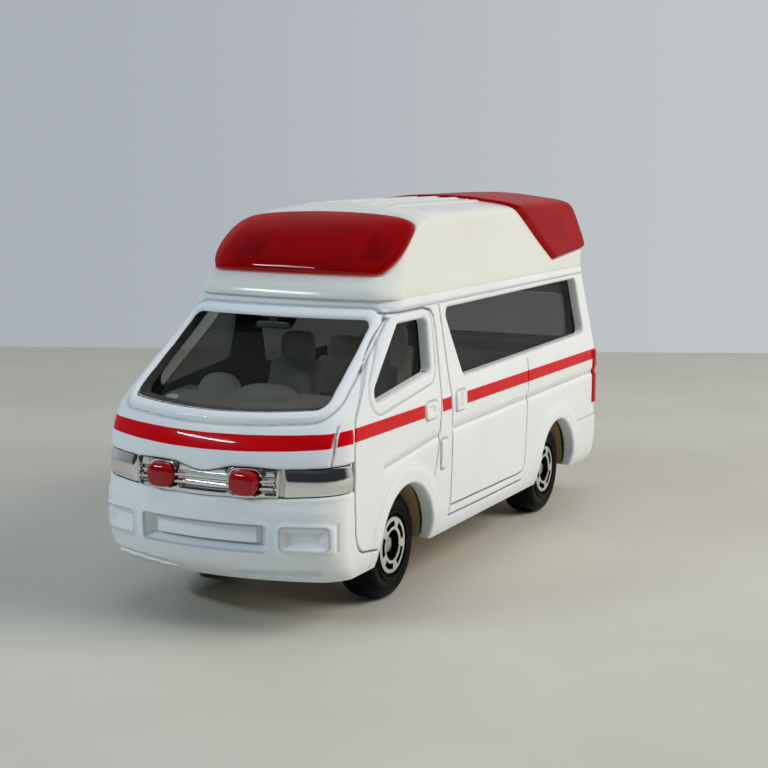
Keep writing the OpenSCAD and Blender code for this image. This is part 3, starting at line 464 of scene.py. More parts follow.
PANEL_LINES = [rounded(p) for p in (
    [(-21.4, 27.2), (-24.3, 25.4), (-27.0, 23.4), (-31.0, 19.7), (-31.9, 18.4), (-31.8, 12), (-31.5, 6.9),
     (-27.2, 6.4)],
    [(-21.6, 27.6), (-12, 27.6), (-12.4, 19.3), (-13.2, 13.6), (-14.2, 11)],
    [(-10.7, 27.6), (-10.05, 19), (-9.74, 13), (-10.1, 7.3), (-10.5, 6.2)],
    [(12, 19.6), (11.8, 15.7), (11.2, 7.4), (10.3, 6.95), (-9.8, 7.2)],
    [(-10.4, 6.2), (10.3, 6.1)])]
FINE_LINES = [[(29.6, 10.0), (37.0, 10.0)], [(-20.6, 27.75), (34.2, 27.95)]]
CREASES = [[(-9.5, 15.1), (36.3, 15.6)], [(-25.5, 13.75), (-13.0, 14.95)]]
DOOR_WINDOW = [(-26.2, 20.75), (-15.0, 22.05), (-14.7, 25.8), (-20.3, 25.8)]
LONG_WINDOW = [(-5.74, 20.81), (31.39, 21.42), (30.4, 26.62), (-8.32, 26.38)]
SCREEN = [(x, 20.36 + 0.4 * (x / 9.2) ** 2) for x in np.linspace(-9.2, 9.2, 13).tolist()]
SCREEN += [(8.75, 26.22), (-8.75, 26.22)]
WINDOW_R = 0.8
GRILLE_HALF = [(0, 12.2), (4, 12.3), (7.5, 12.42), (14, 12.85), (14, 15.42), (7.5, 15.03), (5, 15.14),
               (2.9, 15.12), (1.9, 14.86), (0.9, 14.6), (0, 14.52)]
GRILLE = GRILLE_HALF + [(-x, z) for x, z in GRILLE_HALF[-2:0:-1]]
GRILLE_END_Y = -32.2
BONNET_LINE = [(11.5, 15.0), (11.6, 16.7), (11.55, 18.7)]
HANDLES = [(-15.05, 17.64, 1.45, 0.85, 0.55), (-7.69, 17.67, 1.25, 1.0, 0.4),
           (-11.91, 12.85, 0.8, 1.5, 0.3)]
HANDLE_RIM = 0.06
SCREEN_BEAD, DOOR_BEAD = 1.02, 1.15
ARCH_FLARE = 1.75
TAIL_LAMP_Y, TAIL_LAMP_Z = 37.2, 14.95
PLATE_RECESS, PLATE = (0, 8.84, 6.35, 1.22, 0.3), (0, 8.98, 5.35, 0.82, 0.08)
FOG_RECESS = (9.62, 8.92, 2.0, 1.08, 0.4)
STRIPE_LOW, STRIPE_HIGH = 17.14, 18.4
STRIPE_PARTS = [(-31.75, -16.6), (-12.4, -9.9), (-6.1, 37.2)]


class Relief:
    """Gathers raised and cut forms over points, and how near each point is to one."""

    def __init__(self, count):
        self.up = np.zeros(count)
        self.down = np.zeros(count)
        self.near = np.full(count, FAR)

    def see(self, dist):
        self.near = np.minimum(self.near, np.abs(dist))

    def groove(self, dist, depth, half):
        self.down = np.minimum(self.down, -depth * (1 - ramp(dist, half * 0.25, half * 1.3)))
        self.see(dist)

    def edge(self, dist, r):
        """Rounds the rim of an opening; dist is positive outside it."""
        q = r - np.clip(dist, 0, r)
        self.down = np.minimum(self.down, np.sqrt(r * r - q * q) - r)
        self.see(dist)

    def pad(self, dist, height, soft):
        """Raised patch; dist is negative inside it."""
        self.up = np.maximum(self.up, height * (1 - ramp(dist, -soft, soft)))
        self.see(dist)

    def pocket(self, dist, depth, soft):
        self.down = np.minimum(self.down, -depth * (1 - ramp(dist, -soft, soft)))
        self.see(dist)

    def slant(self, dist, depth, run):
        """Pocket with slanting walls that reach its floor after a run."""
        self.down = np.minimum(self.down, -depth * np.clip(-dist / run, 0, 1))
        self.see(np.where(dist < 0, np.minimum(-dist, 0.4), dist))

    def fill(self, dist, depth, soft):
        """Brings the floor of a pocket back up to depth inside an outline."""
        inside = 1 - ramp(dist, -soft, soft)
        self.down = np.maximum(self.down, -depth) * inside + self.down * (1 - inside)
        self.see(dist)


def folded(p):
    """Coordinates of points, with the right half folded on the left."""
    return np.abs(p[:, 0]), p[:, 1], p[:, 2]


def near_side(x, z, depth):
    return x > HALF_W - SIDE(z) - depth


def near_front(x, y):
    return (y < -15) & (x < 12.3)


def body_detail(p):
    """Relief of the body casting."""
    x, y, z = folded(p)
    on_side, on_front = near_side(x, z, 1.7), near_front(x, y)
    made = Relief(len(p))

    def side(dist):
        return np.where(on_side, dist, FAR)

    def front(dist):
        return np.where(on_front, dist, FAR)

    # Beads, flares and handles
    screen = front(to_outline(x, z, SCREEN) - WINDOW_R)
    made.pad(screen - 0.8, 0.27, 0.2)
    made.groove(np.abs(screen - SCREEN_BEAD), 0.2, 0.16)
    for axle_y in AXLE_Y:
        r = np.hypot(y - axle_y, z - AXLE_Z)
        fade = ramp(z, 4.9, 7.5)
        made.up = np.maximum(made.up, np.where(on_side, 0.2 * fade * (1 - ramp(r, 7.3, 8.35)), 0))
        made.see(side(np.abs(r - 7.8)))
        made.edge(side(r - ARCH_R), 0.3)
    made.up = np.maximum(made.up, np.where(on_side & (y > -22), 0.09 * ramp(z, 27.95, 28.15), 0))
    lamp = to_box(y, z, TAIL_LAMP_Y, TAIL_LAMP_Z, 2.5, 3.35, 0.3)
    made.pad(np.where(x > 9.9, lamp, FAR), 0.22, 0.12)
    for handle in HANDLES:
        ring = side(to_box(y, z, *handle))
        made.pad(ring, 0.14, 0.1)
        made.groove(np.abs(ring - HANDLE_RIM), 0.14, 0.14)

    # Lines
    for line in PANEL_LINES:
        made.groove(side(to_line(y, z, line)), 0.25, 0.13)
    for line in FINE_LINES:
        made.groove(side(to_line(y, z, line)), 0.12, 0.13)
    for line in CREASES:
        made.groove(side(to_line(y, z, line)), 0.17, 0.42)
    made.groove(front(to_line(x, z, BONNET_LINE)), 0.2, 0.12)
    made.groove(np.where(y < -30, to_line(x, z, [(12.03, 7.8), (12.07, 10.2)]), FAR), 0.12, 0.12)
    made.groove(side(to_box(y, z, -15.35, 17.72, 0.75, 0.28, 0.25)), 0.16, 0.12)
    made.groove(side(to_line(y, z, [(-7.75, 17.15), (-7.7, 18.2)])), 0.2, 0.34)

    # Windows and openings
    door = to_outline(y, z, DOOR_WINDOW) - WINDOW_R
    made.groove(side(np.abs(door - DOOR_BEAD)), 0.1, 0.22)
    made.edge(side(door), 0.34)
    made.edge(side(to_outline(y, z, LONG_WINDOW) - WINDOW_R), 0.3)
    made.edge(screen, 0.34)
    grille = to_outline(x, z, GRILLE_HALF + [(-3, 14.52), (-3, 12.2)])
    made.edge(np.where(y < GRILLE_END_Y + 0.4, grille, FAR), 0.28)
    hatch = to_box(x, z, 0, (HATCH_TOP + HATCH_LOW - HATCH_GAP) / 2, HATCH_HALF + HATCH_GAP,
                   (HATCH_TOP - HATCH_LOW + HATCH_GAP) / 2, 0.05)
    made.edge(np.where(y > 30, hatch, FAR), 0.2)

    # Bumper
    plate = front(to_box(x, z, *PLATE_RECESS))
    made.pad(plate - 0.35, 0.08, 0.25)
    made.slant(plate, 1.4, 0.3)
    made.fill(front(to_box(x, z, *PLATE)), 0.9, 0.06)
    fog = front(to_box(x, z, *FOG_RECESS))
    made.pad(fog - 0.3, 0.14, 0.2)
    made.slant(fog, 0.75, 0.7)
    low_slot = front(to_box(x, z - 0.05 * (x - 7.0), 7.1, 5.6, 3.75, 0.3, 0.28))
    made.pad(np.abs(low_slot) - 0.1, 0.12, 0.1)
    made.pocket(low_slot, 0.42, 0.1)
    return made.up + made.down, made.near


def build_body():
    """Body casting as one closed mesh."""
    body = BodySkin(248).solid("body", detail=body_detail, k=4)
    core = BodySkin(110, 4.0, 27.8, 0.6).solid("core", d=-WALL)
    inner = BodySkin(110, pitch=0.6).solid("inner", d=-0.36)
    parts = []
    for y, top in POSTS:
        parts.append(prism(circle_points(0, y, 1.7, 48), "z", 5.6, top))
    parts.append(prism(rectangle(-0.55, 0.55, 5.6, 18.5), "y", -36.35, POSTS[0][0]))
    parts.append(prism(rectangle(-0.55, 0.55, 5.6, 9.94), "y", POSTS[1][0], 37.5))
    frame_x, jamb_z, depth = HATCH_HALF + HATCH_GAP, 19.12, 2.3
    jamb = [(HALF_L, 9.35), (HALF_L, 28.54), (HALF_L - TAIL(28.8) - depth, 28.54),
            (HALF_L - TAIL(jamb_z) - depth, jamb_z), (HALF_L - TAIL(9.35) - depth, 9.35)]
    for side in (-1, 1):
        ends = sorted((side * frame_x, side * HALF_W))
        parts.append(prism(jamb, "x", *ends))
    inside = parts.pop()
    combine(inside, parts, "UNION")
    combine(inside, [inner], "INTERSECT")
    combine(body, [core], "DIFFERENCE")
    combine(body, [inside], "UNION")
    out = HALF_W + 3
    cuts = [prism(swollen(SCREEN, WINDOW_R, 12), "y", -41, -19.6),
            prism(swollen(DOOR_WINDOW, WINDOW_R, 12), "x", -out, out),
            prism(swollen(LONG_WINDOW, WINDOW_R, 12), "x", -out, out),
            prism(GRILLE, "y", -41, GRILLE_END_Y),
            prism(rectangle(-frame_x, frame_x, HATCH_LOW - HATCH_GAP, HATCH_TOP), "y", 33.55, 41),
            prism(rectangle(-8.6, 8.6, -16.34, 30.4), "z", 27.5, 30)]
    for axle_y in AXLE_Y:
        cuts.append(prism(circle_points(axle_y, AXLE_Z, ARCH_R, 96), "x", -out, out))
    for y, _ in POSTS:
        cuts.append(prism(circle_points(0, y, 0.85, 32), "z", 5.5, 8.2))
    for side in (-1, 1):
        ends = sorted((side * (HATCH_HALF - 0.4), side * (HATCH_HALF + 1.0)))
        cuts.append(prism(circle_points(HINGE_Y, HINGE_Z, 0.6, 32), "x", *ends))
    combine(body, cuts, "DIFFERENCE")
    return finish_mesh(body, "body_casting", 38)


def skin_depth(p):
    """How far points lie under the smooth body skin."""
    x, y, z = np.abs(p[:, 0]), p[:, 1], np.clip(p[:, 2], EDGE_Z, SEAM_Z)
    w, yf, yr = HALF_W - SIDE(z), -HALF_L + NOSE(z), HALF_L - TAIL(z)
    bow = BOW(z) * (x / w) ** 2
    slope = np.where(z > 19, 0.56, 0.95)
    return np.minimum(np.minimum(w - x, (y - yf - bow) * slope), yr - y)


def stripe_inside(p):
    """How far points lie inside the red stripe, negative outside it."""
    x, y, z = folded(p)
    ahead = y < -31.9
    places = [0, 4, 8, 11, 12.4]
    low = np.where(ahead, np.interp(x, places, [16.4, 16.45, 16.62, 16.85, 17.1]), STRIPE_LOW)
    high = np.where(ahead, np.interp(x, places, [17.8, 17.85, 17.98, 18.15, 18.38]), STRIPE_HIGH)
    inside = np.minimum(z - low, high - z)
    along = np.max([np.minimum(y - a, b - y) for a, b in STRIPE_PARTS], axis=0)
    ahead_gap = np.minimum(np.abs(x - 11.6) - 0.17, -32.15 - y)
    return np.minimum(inside, np.where(ahead, ahead_gap, along))


def groove_near(p):
    """Distance of points to the nearest panel line, which sets the blue-grey painted shade in the lines,
    partly pooled paint.
    """
    x, y, z = folded(p)
    dist = np.min([to_line(y, z, line) for line in PANEL_LINES], axis=0)
    dist = np.minimum(dist, np.abs(to_box(y, z, *HANDLES[2]) - HANDLE_RIM) + 0.04)
    dist = np.where(near_side(x, z, 1.7), dist, FAR)
    bonnet = np.where(y < -30, to_line(x, z, BONNET_LINE) + 0.03, FAR)
    return np.minimum(np.minimum(dist, bonnet), 0.36 * faint_lines(x, y, z) + 0.08)


def faint_lines(x, y, z):
    """Distance to the lines that only hold a little painted shade: rims, handles, slots and creases."""
    on_side = [to_line(y, z, line) for line in CREASES + FINE_LINES]
    on_side += [np.abs(to_box(y, z, *ring) - HANDLE_RIM) for ring in HANDLES]
    for axle_y in AXLE_Y:
        on_side.append(np.abs(np.hypot(y - axle_y, z - AXLE_Z) - ARCH_R - ARCH_FLARE) + 0.08)
    on_side.append(np.abs(to_outline(y, z, DOOR_WINDOW) - WINDOW_R - DOOR_BEAD))
    on_front = [np.abs(to_box(x, z, *box)) for box in (PLATE_RECESS, PLATE, FOG_RECESS)]
    on_front.append(np.abs(to_outline(x, z, SCREEN) - WINDOW_R - SCREEN_BEAD))
    return np.minimum(np.where(near_side(x, z, 1.0), np.min(on_side, axis=0), FAR),
                      np.where(near_front(x, y), np.min(on_front, axis=0), FAR))


# Materials

class Tree:
    """Short way to make the nodes of a material or a world."""

    def __init__(self, owner):
        owner.use_nodes = True
        self.tree = owner.node_tree

    def new(self, kind, sockets=None, **values):
        """Node with its sockets set to values or wired to other sockets."""
        node = self.tree.nodes.new(kind)
        for key, value in values.items():
            setattr(node, key, value)
        for key, value in (sockets or {}).items():
            self.put(node.inputs[key], value)
        return node

    def put(self, socket, value):
        if isinstance(value, bpy.types.NodeSocket):
            self.tree.links.new(value, socket)
        else:
            socket.default_value = (*value, 1.0) if socket.type == "RGBA" else value

    def spread(self, source, low, high, a=0.0, b=1.0, smooth=False):
        sockets = {"Value": source, "From Min": low, "From Max": high, "To Min": a, "To Max": b}
        how = "SMOOTHSTEP" if smooth else "LINEAR"
        return self.new("ShaderNodeMapRange", sockets, interpolation_type=how).outputs["Result"]

    def mix(self, fac, a, b):
        """Colour mix; a and b are colours or sockets."""
        return self.new("ShaderNodeMix", {0: fac, 6: a, 7: b}, data_type="RGBA").outputs[2]


class Nodes(Tree):
    """Short way to make a node material."""

    def __init__(self, name):
        self.mat = bpy.data.materials.new(name)
        super().__init__(self.mat)
        self.bsdf = self.tree.nodes["Principled BSDF"]
        self.coord = self.new("ShaderNodeTexCoord").outputs["Object"]

    def set(self, **values):
        for key, value in values.items():
            self.put(self.bsdf.inputs[key.replace("_", " ")], value)

    def noise(self, scale, detail=3.0):
        sockets = {"Vector": self.coord, "Scale": scale, "Detail": detail}
        return self.new("ShaderNodeTexNoise", sockets).outputs["Fac"]

    def value(self, name):
        return self.new("ShaderNodeAttribute", attribute_name=name).outputs["Fac"]

    def facing(self, blend):
        return self.new("ShaderNodeLayerWeight", {"Blend": blend}).outputs["Facing"]

    def layer(self, fac, a, b):
        """Mix of the shaders of two nodes."""
        return self.new("ShaderNodeMixShader", {0: fac, 1: a.outputs[0], 2: b.outputs[0]})

    def base(self, a, b, scale):
        """Colour that varies a little between a and b."""
        return self.mix(self.spread(self.noise(scale), 0.35, 0.65), a, b)

    def rough(self, low, high, scale):
        self.set(Roughness=self.spread(self.noise(scale, 4.0), 0.3, 0.7, low, high))

    def bump(self, height, strength):
        sockets = {"Height": height, "Strength": strength, "Distance": 0.0001}
        self.set(Normal=self.new("ShaderNodeBump", sockets).outputs["Normal"])

    def colour(self, socket):
        self.set(Base_Color=socket)


RED_PAINT = ((0.68, 0.003, 0.008), (0.61, 0.002, 0.007))


def body_paint():
    n = Nodes("body_paint")
    white = n.base((0.84, 0.845, 0.84), (0.80, 0.81, 0.815), 90)
    # Painted shade: panel lines, creases and rims turn blue-grey, as shade with some pooled paint.
    lines = n.spread(n.value("painted_line_shade"), 0.03, 0.15, smooth=True)
    white = n.mix(lines, (0.17, 0.22, 0.265), white)
    red = n.base(*RED_PAINT, 300)
    colour = n.mix(n.spread(n.value("stripe"), -0.02, 0.02), white, red)
    colour = n.mix(n.spread(n.value("tail_lamp"), -0.02, 0.02), colour, (0.42, 0.004, 0.008))
    n.colour(colour)
    n.rough(0.16, 0.24, 500)
    n.bump(n.noise(1500, 2.0), 0.06)
    n.set(Coat_Weight=0.30, Coat_Roughness=0.03, Specular_IOR_Level=0.02)
    return n.mat


def clear(name, surface, rough, ior, tint, share):
    """Clear moulding: light passes with a tint, the rest is the surface itself, with a shine on top."""
    n = Nodes(name)
    n.colour(n.base(*surface))
    n.rough(*rough)
    n.set(IOR=ior, Specular_IOR_Level=0.0)
    see = n.new("ShaderNodeBsdfTransparent", {"Color": n.base(*tint)})
    blend, low, high = share
    inside = n.layer(n.spread(n.facing(blend), 0.0, 1.0, low, high), see, n.bsdf)
    shine = n.new("ShaderNodeBsdfGlossy", {"Roughness": 0.03})
    edge = n.new("ShaderNodeMath", {0: n.facing(0.5), 1: 5.0}, operation="POWER").outputs[0]
    top = n.layer(n.spread(edge, 0.0, 1.0, 0.026, 0.3), inside, shine)
    n.put(n.tree.nodes["Material Output"].inputs["Surface"], top.outputs[0])
    return n.mat


def plain(name, a, b, scale, rough, bump=0.1, bump_scale=2000, bump_detail=3.0, **sockets):
    """Surface between two colours. rough is (low, high) or (low, high, scale)."""
    n = Nodes(name)
    n.colour(n.base(a, b, scale))
    n.rough(*(*rough, scale * 3)[:3])
    n.bump(n.noise(bump_scale, bump_detail), bump)
    n.set(**sockets)
    return n.mat


MATS = {
    "paint": body_paint(),
    # Painted shade: near black for the inside of the casting and the windscreen reveal, where only shade
    # is seen.
    "inner": plain("dark_inside_shade", (0.055, 0.054, 0.052), (0.035, 0.034, 0.034), 250, (0.5, 0.7, 700),
                   0.15, 3000),
    "roof": plain("roof_plastic", (0.80, 0.79, 0.73), (0.77, 0.755, 0.69), 70, (0.17, 0.26, 400),
                  0.05, 1200, 2.0, Coat_Weight=0.25, Coat_Roughness=0.08, Subsurface_Weight=0.08,
                  Subsurface_Scale=0.0015),
    "lens": clear("lens_red", ((0.50, 0.001, 0.005), (0.42, 0.001, 0.004), 160), (0.03, 0.06, 500), 1.49,
                  ((0.86, 0.008, 0.012), (0.80, 0.006, 0.010), 200), (0.35, 0.16, 0.6)),
    "window": clear("window_clear", ((0.012, 0.012, 0.012), (0.02, 0.02, 0.02), 200), (0.02, 0.05, 300),
                    1.5, ((0.86, 0.86, 0.84), (0.82, 0.82, 0.80), 60), (0.3, 0.08, 0.9)),
    "chrome": plain("chrome_insert", (0.80, 0.80, 0.80), (0.74, 0.745, 0.75), 300, (0.05, 0.12),
                    0.05, 900, 2.0, Metallic=1.0),
    "beacon": plain("beacon_red", (0.40, 0.002, 0.005), (0.34, 0.002, 0.004), 400, (0.04, 0.08), 0.02,
                    Specular_IOR_Level=0.5),
    "seat": plain("seat_plastic", (0.82, 0.81, 0.76), (0.76, 0.75, 0.70), 200, (0.45, 0.6), 0.1),
    "dark": plain("dark_plastic", (0.02, 0.02, 0.021), (0.03, 0.03, 0.03), 300, (0.35, 0.5), 0.1),
    "base": plain("base_plastic", (0.56, 0.43, 0.21), (0.50, 0.37, 0.17), 150, (0.4, 0.55), 0.1),
    "spring": plain("spring_plastic", (0.30, 0.30, 0.31), (0.25, 0.25, 0.26), 300, (0.4, 0.5), 0.05),
    "steel": plain("axle_steel", (0.56, 0.56, 0.57), (0.48, 0.48, 0.49), 600, (0.2, 0.34), Metallic=1.0),
    "tyre": plain("wheel_black", (0.003, 0.003, 0.0035), (0.005, 0.005, 0.0055), 500, (0.3, 0.42), 0.08,
                  Specular_IOR_Level=0.05),
    "foil": plain("wheel_foil", (0.86, 0.86, 0.87), (0.78, 0.78, 0.79), 700, (0.12, 0.22), Metallic=1.0),
    "floor": plain("floor_pale", (0.60, 0.575, 0.50), (0.55, 0.525, 0.45), 25, (0.5, 0.65), 0.05, 400),
}


def dress(obj, *looks):
    obj.data.materials.clear()
    for look in looks:
        obj.data.materials.append(MATS[look])


def soft_block(name, centre, half, power):
    """Block with evenly rounded faces and corners."""
    rings, segments = 28, 40

    def soft(v):
        return math.copysign(abs(v) ** power, v)

    verts, faces = [], []
    for i in range(1, rings):
        lat = math.pi * (i / rings - 0.5)
        for j in range(segments):
            lon = 2 * math.pi * j / segments
            verts.append((centre[0] + half[0] * soft(math.cos(lat)) * soft(math.cos(lon)),
                          centre[1] + half[1] * soft(math.sin(lat)),
                          centre[2] + half[2] * soft(math.cos(lat)) * soft(math.sin(lon))))
    low = len(verts)
    verts += [(centre[0], centre[1] - half[1], centre[2]), (centre[0], centre[1] + half[1], centre[2])]
    for i in range(rings - 2):
        for j in range(segments):
            a, b = i * segments + j, i * segments + (j + 1) % segments
            faces.append([a, a + segments, b + segments, b])
    last = (rings - 2) * segments
    for j in range(segments):
        faces.append([low, j, (j + 1) % segments])
        faces.append([low + 1, last + (j + 1) % segments, last + j])
    return mesh_object(name, verts, faces)


def paint_faces(obj, chosen):
    """Gives the faces whose centres are chosen the object's second material."""
    faces = obj.data.polygons
    now = np.empty(len(faces), np.int32)
    faces.foreach_get("material_index", now)
    now[chosen(vectors(faces, "center"))] = 1
    faces.foreach_set("material_index", now)


def ride(obj, body, node):
    """Hands a finished piece over in metres, in place of a node of the frame."""
    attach(to_metres(obj), body)
    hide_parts(node)


# Body casting

body = build_body()
spots = vectors(body.data.vertices, "co")
attribute(body, "stripe", stripe_inside(spots))
# Painted shade in the panel lines, creases and rims, from the distance to them.
attribute(body, "painted_line_shade", groove_near(spots))
lamp = np.minimum(2.6 - np.abs(spots[:, 1] - TAIL_LAMP_Y), 3.25 - np.abs(spots[:, 2] - TAIL_LAMP_Z))
attribute(body, "tail_lamp", np.where(np.abs(spots[:, 0]) > 9.8, lamp, -FAR))
dress(body, "paint", "inner")
# Painted shade: faces deep under the skin, the inside of the casting, take the near-black inner material.
paint_faces(body, lambda c: (skin_depth(c) > np.where((c[:, 1] < -30) & (c[:, 2] < 11), 1.55, 0.75))
            & (c[:, 2] < 28.6))
# Painted shade: the walls of the windscreen opening take the near-black inner material, a dark rim round
# the glass.
along_y = np.abs(vectors(body.data.polygons, "normal")[:, 1]) < 0.03
paint_faces(body, lambda c: (np.abs(to_outline(np.abs(c[:, 0]), c[:, 2], SCREEN) - WINDOW_R) < 0.3)
            & (c[:, 1] < -17) & along_y)
ride(body, "van", "body_shell")

# High roof and light bars

FRONT_BAR = [(-38, 31.01), (-19.76, 31.01), (-11.4, 36.35), (-11.4, 46), (-38, 46)]
REAR_BAR = [(14.29, 36.54), (23.67, 30.18), (38, 31.2), (47, 31.2), (47, 46), (14.29, 46)]
RIBS_X = (0.0, 2.5, 5.0)


def roof_detail(p):
    x, y, z = folded(p)
    made = Relief(len(p))
    high = z > 34.5
    for rib in RIBS_X:
        rib_box = np.where(high, to_box(x, y, rib, 2.47, 0.36, 11.2, 0.36), FAR)
        made.pad(rib_box, 0.13, 0.26)
    for bar in (FRONT_BAR, REAR_BAR):
        made.edge(to_outline(y, z, bar), 0.22)
    made.edge(z - 28.72, 0.2)
    return made.up + made.down, made.near


def lens_detail(outline):
    inner = moved_edges(outline, FIT)

    def detail(p):
        made = Relief(len(p))
        made.edge(-to_outline(p[:, 1], p[:, 2], inner), 0.42)
        return made.up + made.down, made.near

    return detail


def light_bar(name, outline, proud):
    lens = RoofSkin(190, 60, lift=0.55).solid(name, d=proud, detail=lens_detail(outline), k=3)
    void = RoofSkin(120, 40, SEAM_Z - WALL).solid("void", d=-MOULDED)
    combine(lens, [void], "DIFFERENCE")
    combine(lens, [prism(moved_edges(outline, FIT), "x", -15, 15)], "INTERSECT")
    finish_mesh(lens, name, 32)
    dress(lens, "lens")
    return lens


def lamp_block(ledge, house):
    """Ledge and lamp housing behind a lens."""
    block = RoofSkin(120, 50).solid("block", d=-1.5)
    combine(block, [prism(rectangle(-15, 15, *ledge), "z", 29.1, 32.2)], "INTERSECT")
    return combine(block, [bevel(prism(house, "x", -5.2, 5.2), 0.3)], "UNION")


roof = RoofSkin(190, 60).solid("roof", detail=roof_detail, k=3)
combine(roof, [RoofSkin(120, 40, SEAM_Z - WALL).solid("void", d=-MOULDED)], "DIFFERENCE")
combine(roof, [prism(bar, "x", -15, 15) for bar in (FRONT_BAR, REAR_BAR)], "DIFFERENCE")
collar = prism(rectangle(-8.5, 8.5, -16.24, 30.3), "z", 27.8, 29.25)
shelf = RoofSkin(120, 40).solid("shelf", d=-0.45)
combine(shelf, [prism(rectangle(-15, 15, -40, 40), "z", 29.7, 60)], "DIFFERENCE")
front_house = [(-18.09, 29.1), (-11.4, 29.1), (-11.4, 34.6), (-14.44, 34.6), (-18.09, 32.5)]
rear_house = [(18.24, 29.1), (33.82, 29.1), (33.82, 32.5), (31.54, 34.6), (18.24, 34.6)]
blocks = [lamp_block((-38, -15.2), front_house), lamp_block((21.28, 38), rear_house)]
combine(roof, [collar, shelf] + blocks, "UNION")
combine(roof, [prism(rectangle(-7.6, 7.6, -15.34, 29.4), "z", 27, 29.75)], "DIFFERENCE")
finish_mesh(roof, "roof_moulding", 35)
dress(roof, "roof")
ride(roof, "van", "high_roof")
ride(light_bar("front_light_bar", FRONT_BAR, 0.5), "van", "front_light_lens")
ride(light_bar("rear_light_bar", REAR_BAR, 0.5), "van", "rear_light_lens")

# Windows

panes = BodySkin(130, 19.1, 27.7, 0.5).solid("panes", d=-WALL - FIT)
hollow = BodySkin(130, 18.0, 26.8, 0.5).solid("hollow", d=-WALL - FIT - MOULDED)
combine(panes, [hollow, prism(rectangle(-15, 15, 32.68, 45), "z", 0, 60),
                prism(rectangle(-8.7, 8.7, -16.44, 30.5), "z", 26.6, 30)], "DIFFERENCE")
MIRROR = (-0.8, -22.75, 26.05)
mirror = soft_block("mirror", MIRROR, (1.9, 0.42, 0.42), 0.4)
stalk = prism(rectangle(-1.3, -0.3, 26.1, 27.2), "y", -22.95, -22.5)
combine(panes, [mirror, stalk], "UNION")
finish_mesh(panes, "window_moulding", 35)
dress(panes, "window", "dark")
# Painted shade: the mirror, a piece of the clear moulding, takes the dark material.
paint_faces(panes, lambda c: (np.abs(c[:, 0] - MIRROR[0]) < 2.0) & (np.abs(c[:, 1] - MIRROR[1]) < 0.5)
            & (c[:, 2] > 25.5) & (c[:, 2] < 26.78))
ride(panes, "van", "glazing")

# Bright insert and beacons

BEACON = (4.25, -37.3, 13.72)
BEACON_HALF = (1.36, 0.8, 1.14)
GRILLE_BARS = (12.95, 13.55, 14.15)
LAMP_X = 7.5


def insert_detail(p):
    x, y, z = folded(p)
    made = Relief(len(p))
    middle = x < LAMP_X - 0.5
    lamp_box = to_box(x, z, 11.6, 13.95, 3.8, 1.15, 0.3)
    bulge = np.maximum(0.22 * (1 - ((z - 13.75) / 1.3) ** 2) * ramp(x, LAMP_X, LAMP_X + 0.4), 0)
    made.up = np.where(x > LAMP_X, bulge * (1 - ramp(lamp_box, -0.2, 0.1)), 0)
    fin = to_line(x, z, [(7.25, 15.0), (6.95, 12.3)]) - 0.2
    made.pad(fin, 0.2, 0.14)
    for bar in GRILLE_BARS:
        made.pocket(np.where(middle, np.abs(z - bar) - 0.13, FAR), 0.45, 0.06)
    made.groove(np.abs(x - LAMP_X), 0.4, 0.2)
    socket = to_box(x, z, BEACON[0], BEACON[2], BEACON_HALF[0] + 0.12, BEACON_HALF[2] + 0.1, 0.7)
    made.pad(np.abs(socket) - 0.22, 0.22, 0.12)
    made.near = np.where((y < -31) & (x < 13), 0.0, FAR)
    return made.up + made.down, made.near


insert = BodySkin(248, 11.4, 16.0, 0.36).solid("insert", d=-0.15, detail=insert_detail, k=4)
combine(insert, [BodySkin(140, 11.0, 16.4, 0.5).solid("void", d=-1.25)], "DIFFERENCE")
combine(insert, [prism(moved_edges(GRILLE, FIT), "y", -41, GRILLE_END_Y - FIT)], "INTERSECT")
finish_mesh(insert, "bright_insert", 32)
dress(insert, "chrome")
ride(insert, "van", "grille_insert")


right, left = (soft_block("beacon", (side * BEACON[0], *BEACON[1:]), BEACON_HALF, 0.68)
               for side in (-1, 1))
beacons = finish_mesh(combine(right, [left], "UNION"), "beacon_pair", 60)
dress(beacons, "beacon")
ride(beacons, "van", "grille_beacons")

# Rear hatch

HATCH_WINDOW = rectangle(-7.5, 7.5, 20.4, 24.5)


def hatch_detail(p):
    x, y, z = folded(p)
    made = Relief(len(p))
    window = to_box(x, z, 0, 22.45, 8.3, 2.85, 0.8)
    made.pad(window - 0.75, 0.14, 0.2)
    made.edge(window, 0.25)
    made.pocket(to_box(x, z, 0, 14.4, 5.0, 1.45, 0.3), 0.35, 0.12)
    made.fill(to_box(x, z, 0, 14.4, 4.3, 1.0, 0.15), 0.18, 0.06)
    handle = to_box(x, z, 0, 16.6, 3.0, 0.42, 0.3)
    made.pad(handle, 0.28, 0.16)
    made.groove(to_line(x, z, [(0, 11.9), (8.2, 11.9)]), 0.16, 0.3)
    made.groove(to_line(x, z, [(5.6, 12.6), (8.6, 13.2), (8.6, 18.6), (8.9, 19.2)]), 0.12, 0.25)
    top = HINGE_Z + 0.6
    border = to_box(x, z, 0, (top + HATCH_LOW) / 2, HATCH_HALF, (top - HATCH_LOW) / 2, 0.2)
    made.edge(-border, 0.24)
    made.near = np.where((y > 30) & (x < HATCH_HALF + 0.5), made.near, FAR)
    return np.where(y > 30, made.up + made.down, 0.0), made.near


